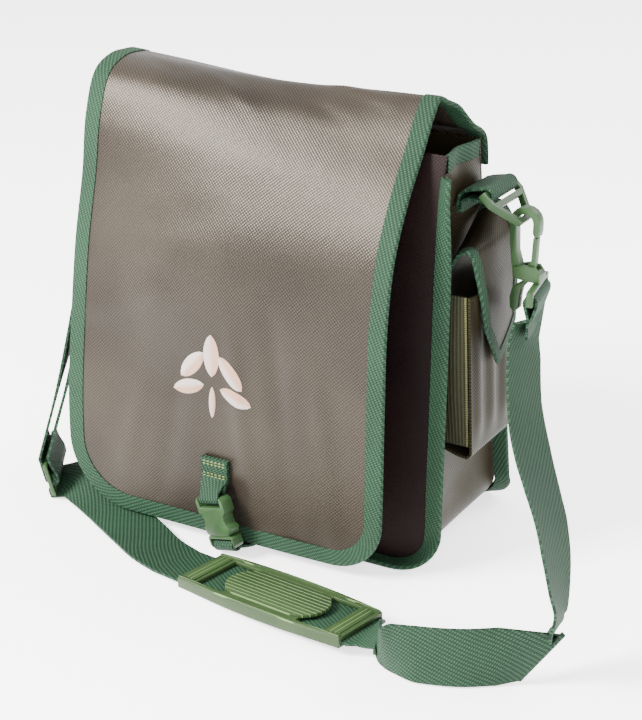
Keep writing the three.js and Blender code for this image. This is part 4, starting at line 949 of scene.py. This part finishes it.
# Strap loops: short lengths of the strap's webbing, folded over the bars of the rings and sewn with
# both ends high on the gusset.
STRAP_WIDTH, STRAP_THICK = 38, 1.8
STAND_OFF, LEFT_STAND_OFF, LOOP_HEIGHT, LOOP_TAIL, LOOP_MIDDLE = 20, 11, 250, 13.5, -11
FITTING, RING_BAR = 4.5, 4
LOOP_X = HALF_WIDTH + STAND_OFF
inner_ply = [(0, 1), (0, 0.52), (0.03, 0.22), (0.16, -0.03)]
outer_ply = [(0.17, 0.32), (0.03, 0.48), (0, 0.7), (0, 1)]
across_loop = Vector((0, 1, 0))
for side, name, stand_off in ((1, "strap_loop_right", STAND_OFF), (-1, "strap_loop_left", LEFT_STAND_OFF)):
    wall = HALF_WIDTH + GAP + STRAP_THICK / 2
    reach = wrap_radius(RING_BAR, FITTING, STRAP_THICK)
    points = [(wall + stand_off * out, LOOP_HEIGHT - LOOP_TAIL * drop) for out, drop in inner_ply]
    for a in range(120, -91, -15):
        out, rise = reach * cos(radians(a)), reach * sin(radians(a))
        points.append((HALF_WIDTH + stand_off + out, LOOP_HEIGHT + rise))
    over = STRAP_THICK + GAP
    points += [(wall + over + stand_off * out, LOOP_HEIGHT - LOOP_TAIL * drop) for out, drop in outer_ply]
    sections = [(Vector((side * x, LOOP_MIDDLE, z)), across_loop, 1) for x, z in points]
    loop = ribbon(f"{name}_webbing", smooth_sections(sections, 80), STRAP_WIDTH, STRAP_THICK)
    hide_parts(name)


# Shoulder strap: one length of webbing. It hangs from the swivel, folds on the floor, stands on
# its edge along the front, lies flat through the pad, and climbs through the slider to the left ring.
def direction(heading, lift):
    h, l = radians(heading), radians(lift)
    return Vector((cos(h) * cos(l), sin(h) * cos(l), sin(l)))


RING_LENGTH, RING_DROP, SIDE_RING = 27, 43, 30
HOOK_HEIGHT, CURL = 41, 10
ring_way = direction(0, -RING_DROP)
ring_end = Vector((LOOP_X, LOOP_MIDDLE, LOOP_HEIGHT)) + ring_way * (RING_LENGTH - RING_BAR / 2)
hook_at = ring_end + Vector((2, 0, -1.2 - (HOOK_HEIGHT - CURL)))
SWIVEL_A, SWIVEL_TOP, SWIVEL_HEIGHT, SWIVEL_BAR = 9.4, -6.8, 10, 3
swivel_way = Vector((-sin(radians(10)), cos(radians(10)), 0))
swivel_out = swivel_way.cross(Vector((0, 0, 1)))
swivel_bar = hook_at + Vector((SWIVEL_A, 0, SWIVEL_TOP - SWIVEL_HEIGHT + SWIVEL_BAR / 2))
bar_wrap = wrap_radius(SWIVEL_BAR, FITTING, STRAP_THICK)
ply_half = (STRAP_THICK + GAP) / 2


def by_swivel(out, up):
    return swivel_bar + swivel_out * out + Vector((0, 0, up))


hook_points = [by_swivel(-ply_half, -24), by_swivel(-ply_half, -11), by_swivel(-bar_wrap * 0.9, -2.4)]
for a in range(180, -1, -20):
    hook_points.append(by_swivel(bar_wrap * cos(radians(a)), bar_wrap * sin(radians(a))))
hook_points += [by_swivel(bar_wrap * 0.9, -2.4), by_swivel(ply_half, -11)]
hook_sections = [(at, -swivel_way, 1) for at in hook_points]

# The rows hold x and y in shares of half the bag's width and depth, the height in millimetres,
# and the way across the strap as a heading and a lift in degrees. The floor's rows end with how far
# the strap spreads.
hanging_rows = [
    (1.372, -0.3, 162.8, -92, 12),
    (1.392, -0.424, 151, -103, 24),
    (1.454, -0.678, 127.5, -107, 28),
    (1.551, -0.966, 107.4, -117, 30),
    (1.659, -1.271, 94.1, -125, 35),
    (1.766, -1.576, 84.7, -125, 38),
    (1.864, -1.881, 74.5, -120, 44),
    (1.945, -2.186, 63.5, -110, 48),
    (2.008, -2.424, 50.8, -90, 42),
    (2.03, -2.5, 42.8, -76, 40),
    (2.01, -2.57, 32.6, -46, 52),
]
floor_rows = [
    (1.8, -2.85, 20.14, 40, 90, 1),
    (1.66, -3.05, 20.14, 70, 90, 1),
    (1.46, -3.21, 20.14, 80, 93, 1),
    (1.357, -3.225, 19.76, 72, 103, 1),
    (1.286, -3.197, 18.24, 110, 115, 1),
    (1.236, -3.068, 17.29, -50, 72, 0.68),
    (1.216, -3, 17.4, 99, 42, 0.45),
    (1.14, -2.88, 13, 78, 17, 0.64),
]
left_rows = [
    (-0.136, -2.31, 3.2, 79, 0),
    (-0.304, -2.17, 3, 72, 1),
    (-0.456, -1.983, 3.2, 64, 3),
    (-0.608, -1.797, 3.6, 60, 4),
    (-0.76, -1.61, 5.2, 61, 9),
    (-0.912, -1.458, 9.5, 68, 24),
    (-1.056, -1.356, 14.1, 84, 42),
]


def route_point(x, y, z):
    return Vector((HALF_WIDTH * x, BASE_DEPTH / 2 * y, z))


def route(rows, steps):
    sections = [(route_point(*row[:3]), direction(*row[3:5]), 1) for row in rows]
    made = smooth_sections(sections, steps)
    squared = []
    for i, (at, across, spread) in enumerate(made):
        run = (made[min(i + 1, steps)][0] - made[max(i - 1, 0)][0]).normalized()
        squared.append((at, (across - run * across.dot(run)).normalized(), spread))
    return squared


fold_at = route_point(1.976, -2.644, 20.5)
fold_slant = direction(13, 55)
fold_back = Vector((-0.42, 0.9, 0)).normalized()
fold_out = fold_back.cross(fold_slant).normalized()
PLAY = 0.8
FOLD_SPREAD = 1.1
fold_turn = (STRAP_THICK + PLAY) / 2
fold_sections = []
for a in range(0, 181, 30):
    turn_at = fold_back * (fold_turn * cos(radians(a))) + fold_out * (fold_turn * sin(radians(a)))
    fold_sections.append((fold_at + turn_at, fold_slant, FOLD_SPREAD))

PAD_LENGTH, PAD_WIDTH, PAD_END, PAD_THICK = 134, 50, 42, 7
PAD_TILT = 2.8
pad_way, pad_across = direction(-11.2, PAD_TILT), direction(78.8, 0)
pad_lift = (PAD_THICK * cos(radians(PAD_TILT)) + PAD_LENGTH * sin(radians(PAD_TILT))) / 2
pad_middle = route_point(0.552, -2.576, pad_lift)
pad_face = pad_way.cross(pad_across)
pad_sections = []
for share in (0.53, 0.2, -0.2, -0.53):
    at = pad_middle + pad_way * (PAD_LENGTH * share)
    pad_sections.append((at - Vector((0, 0, PAD_THICK * 0.08)), pad_across, 1))

SLIDER_LENGTH, SLIDER_THICK, SLIDER_BAR = 26, 3, 3
slider_at = Vector((-1.235 * HALF_WIDTH, 1.41 * FRONT_Y, 20.8))
slider_across = direction(118, 10)
slider_up = Vector((-0.1, -0.25, 1)).normalized()
slider_up = (slider_up - slider_across * slider_up.dot(slider_across)).normalized()
slider_out = slider_across.cross(slider_up).normalized()
BAR_PLAY = 0.5
near = SLIDER_THICK / 2 + STRAP_THICK / 2 + BAR_PLAY
far = near + STRAP_THICK + 2 * GAP
step = SLIDER_BAR / 2 + STRAP_THICK / 2 + BAR_PLAY
edge = SLIDER_LENGTH / 2


def by_slider(up, out):
    return slider_at + slider_up * up + slider_out * out, slider_across, 1


slider_in = [
    by_slider(-edge - 3, -near),
    by_slider(-edge + SLIDER_BAR / 2, -near - 0.1),
    by_slider(-edge + SLIDER_BAR + 0.6, -near + 0.3),
    by_slider(-edge + SLIDER_BAR + 2.4, -1),
    by_slider(-edge + SLIDER_BAR + 3.6, 1.6),
    by_slider(-edge + SLIDER_BAR + 5, far - 1.4),
    by_slider(-step, far - 0.1),
    by_slider(step, far),
    by_slider(edge - SLIDER_BAR, near + 0.5),
    by_slider(edge + 4, near + 0.1),
]
slider_end = [
    by_slider(edge + 4, -near),
    by_slider(edge - SLIDER_BAR, -near),
    by_slider(step, -near),
    by_slider(-step + 1, -near),
    by_slider(-step - 0.2, -near * 0.55),
    by_slider(-step - 0.2, near * 0.6),
    by_slider(-step + 0.9, near + 0.1),
    by_slider(step - 1, near + 0.1),
]
left_way = direction(180, -82)
left_bar = Vector((-HALF_WIDTH - LEFT_STAND_OFF, LOOP_MIDDLE, LOOP_HEIGHT)) + left_way * SIDE_RING
left_wrap = wrap_radius(RING_BAR, FITTING, STRAP_THICK)
facing_sign = 1 if slider_out.x > 0 else -1


def riser(foot, out):
    top = left_bar + Vector((out, 0, -4))
    return [
        (foot[0].lerp(top, t), slider_across.lerp(across_loop, smooth_step((t - 0.1) / 0.9)).normalized(), 1)
        for t in shares(16)[1:-1]
    ]


ring_turn = []
for a in range(180, -1, -20):
    angle = radians(a if facing_sign < 0 else 180 - a)
    ring_turn.append((left_bar + Vector((left_wrap * cos(angle), 0, left_wrap * sin(angle))), across_loop, 1))

strap_sections = (
    hook_sections
    + route(hanging_rows, 70)
    + fold_sections
    + smooth_sections([(route_point(*row[:3]), direction(*row[3:5]), row[5]) for row in floor_rows], 70)
    + pad_sections
    + route(left_rows, 40)
    + slider_in
    + riser(slider_in[-1], facing_sign * left_wrap)
    + ring_turn
    + riser(slider_end[0], -facing_sign * left_wrap)[::-1]
    + slider_end
)
strap = ribbon("shoulder_strap_webbing", strap_sections, STRAP_WIDTH, STRAP_THICK, columns=10)
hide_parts("shoulder_strap")


# Shoulder pad: a soft olive moulding that the strap runs through. It has a rim on each long side, two
# windows, a ribbed bar at each end and a ribbed tongue in the middle.
def pad_moulding(name, shade, light, line):
    made, shader, start = material(name, Roughness=0.45, Specular_IOR_Level=0.25)
    v = start.cloth_map()[2]
    place = start.place()
    wide = start.noise(place, 30, 3)
    ribs = v.repeats(3.4)
    body = wide.ramp(0.3, 0.7).tint(shade, light)
    # The pale line colour, laid on the crest of each rib and so also in streaks along the rims, is a painted
    # highlight of light catching the ribs.
    wire(shader, "Base Color", ribs.ramp(0.8, 0.98).tint(body, line))
    wire(shader, "Normal", ribs.ramp(0.3, 1).relief(0.8, 0.001))
    return made


olive = plastic("olive pad plastic", (0.014, 0.031, 0.0085), (0.028, 0.052, 0.016), 0.4)
# The last colour is the painted highlight on the rib crests.
olive_ribbed = pad_moulding(
    "olive ribbed plastic", (0.014, 0.033, 0.008), (0.026, 0.052, 0.015), (0.1, 0.16, 0.06)
)
moulded("shoulder_pad", olive, 1)


PLATE_ROUNDING, PLATE_ROOT = 0.5, PAD_THICK - 0.6


def pad_plate(name, outline, proud, ribs_across=False):
    """A flat plate that stands proud of the pad, with its outline along and across the pad."""
    low, high = PLATE_ROOT, PAD_THICK + proud
    bm = bmesh.new()
    layer = bm.loops.layers.uv.new("cloth")
    ring = [bm.verts.new((a, b, low)) for a, b in outline]
    face = bm.faces.new(ring)
    top = bmesh.ops.extrude_face_region(bm, geom=[face])["geom"]
    raised = [v for v in top if isinstance(v, bmesh.types.BMVert)]
    bmesh.ops.translate(bm, verts=raised, vec=(0, 0, high - low))
    bmesh.ops.recalc_face_normals(bm, faces=bm.faces)
    rim = [e for e in bm.edges if all(abs(v.co.z - high) < 1e-4 for v in e.verts)]
    round_edges(bm, rim, PLATE_ROUNDING, 2)
    for face in bm.faces:
        for loop in face.loops:
            a, b = loop.vert.co.x, loop.vert.co.y
            loop[layer].uv = (b * MM, a * MM) if ribs_across else (a * MM, b * MM)
    for vertex in bm.verts:
        a, b, z = vertex.co
        at = pad_middle + pad_way * a + pad_across * b
        vertex.co = (at + pad_face * (z - PAD_THICK / 2)) * MM
    made = piece(name, bm, olive_ribbed)
    made.data.set_sharp_from_angle(angle=radians(40))
    return made


RIM_LENGTH = PAD_LENGTH - 1.6


def pad_half(share):
    middle = cos(pi * max(-0.49, min(0.49, share))) ** 0.8
    return (PAD_END + (PAD_WIDTH - PAD_END) * middle) / 2


for side, name in ((-1, "front"), (1, "rear")):
    outer, inner = (
        [((t - 0.5) * RIM_LENGTH, side * (pad_half(t - 0.5) - inset)) for t in shares(24)]
        for inset in (0.5, 3)
    )
    pad_plate(f"shoulder_pad_rim_{name}", outer + inner[::-1], 1.2)

tongue_half, tongue_wide = 39, 17
tongue = []
for a in range(-90, 91, 10):
    tongue.append((tongue_half - tongue_wide + tongue_wide * cos(radians(a)), tongue_wide * sin(radians(a))))
tongue += [(-a, -b) for a, b in tongue]
pad_plate("shoulder_pad_tongue", tongue, 1.3)
bar_corners = [(55, -18.5), (64, -16.5), (64, 16.5), (55, 18.5)]
for side, name in ((-1, "left"), (1, "right")):
    bar = [(side * a, b) for a, b in bar_corners]
    pad_plate(f"shoulder_pad_bar_{name}", bar, 0.8, ribs_across=True)


# Embroidered sprig: a small bunch of leaves low on the flap, sewn in satin stitch in pale thread that
# goes from peach to white.
thread, thread_shader, start = material("pale thread", Roughness=0.55, Sheen_Weight=0.4)
leaf_across, leaf_along = start.cloth_map()[1:]
satin = leaf_along.repeats(0.9)
leaf_tone = leaf_across.ramp(-0.004, 0.005) * 0.8 + satin * 0.1
wire(thread_shader, "Base Color", leaf_tone.tint((0.34, 0.17, 0.1), (0.36, 0.33, 0.31)))
wire(thread_shader, "Normal", satin.relief(0.6, 0.0003))

sprig = [
    {"at": (-23, 291), "turn": 18, "long": 26, "wide": 10},
    {"at": (-20, 275), "turn": 48, "long": 27, "wide": 11},
    {"at": (-5, 266), "turn": 92, "long": 29, "wide": 12},
    {"at": (10, 275), "turn": 134, "long": 27, "wide": 11},
    {"at": (14, 291), "turn": 164, "long": 25, "wide": 10},
    {"at": (-4, 298), "turn": 90, "long": 22, "wide": 5},
]
bm = bmesh.new()
layer = bm.loops.layers.uv.new("cloth")
for leaf in sprig:
    made = bmesh.ops.create_grid(bm, x_segments=12, y_segments=8, size=1)["verts"]
    faces = {face for vertex in made for face in vertex.link_faces}
    angle = radians(leaf["turn"])
    for face in faces:
        for loop in face.loops:
            x, y = loop.vert.co.x, loop.vert.co.y
            loop[layer].uv = (y * leaf["wide"] * MM, (x * leaf["long"] + abs(y) * 3) * 0.0005)
    for vertex in made:
        x, y, z = vertex.co
        taper = (1 - x**2) ** 0.7
        a, b = x * leaf["long"] / 2, y * leaf["wide"] / 2 * taper
        u = leaf["at"][0] + a * cos(angle) - b * sin(angle)
        v = leaf["at"][1] - a * sin(angle) - b * cos(angle)
        lift = CLOTH / 2 + 0.15 + 0.5 * (1 - y**2) * taper
        across, down = u / FLAP_WIDTH + 0.5, v / FLAP_LENGTH
        vertex.co = (flap_surface(u, v) + flap_out(u, v) * (lift + crease_height(across, down))) * MM
bmesh.ops.remove_doubles(bm, verts=bm.verts, dist=1e-7)
emblem = piece("flap_sprig_embroidery", bm, thread)
thicken(emblem, 0.3, 0.05)


# Floor and light: a wide white floor that glows a little, so that it stays near white, with one
# strong soft light from the upper left, a weak one from the right and one from behind.
bm = bmesh.new()
bmesh.ops.create_grid(bm, x_segments=1, y_segments=1, size=6)
floor_mesh = bpy.data.meshes.new("floor")
bm.to_mesh(floor_mesh)
bm.free()
floor_sheet = bpy.data.objects.new("floor", floor_mesh)
scene.collection.objects.link(floor_sheet)
paper, paper_shader, _ = material("white paper", Base_Color=(0.95, 0.955, 0.95, 1), Roughness=0.9)
paper_shader.inputs["Emission Color"].default_value = (1, 1, 1, 1)
paper_shader.inputs["Emission Strength"].default_value = 1.8
floor_mesh.materials.append(paper)


def area_light(name, at, aim, size, power, colour):
    data = bpy.data.lights.new(name, "AREA")
    data.shape = "DISK"
    data.size = size
    data.energy = power
    data.color = colour
    lamp = bpy.data.objects.new(name, data)
    lamp.location = at
    lamp.rotation_euler = (Vector(aim) - Vector(at)).to_track_quat("-Z", "Y").to_euler()
    scene.collection.objects.link(lamp)


area_light("key", (-0.9, -1.3, 1.25), (0, -0.1, 0.2), 0.7, 165, (1, 0.985, 0.96))
area_light("fill", (1.5, -1.6, 1.1), (0.05, 0, 0.12), 1.6, 24, (0.95, 0.98, 1))
area_light("rim", (0.9, 1.2, 1.6), (0, 0, 0.15), 1.2, 40, (1, 1, 1))
world = bpy.data.worlds.new("studio")
world.use_nodes = True
world.node_tree.nodes["Background"].inputs["Color"].default_value = (1, 1, 1, 1)
world.node_tree.nodes["Background"].inputs["Strength"].default_value = 2.1
scene.world = world
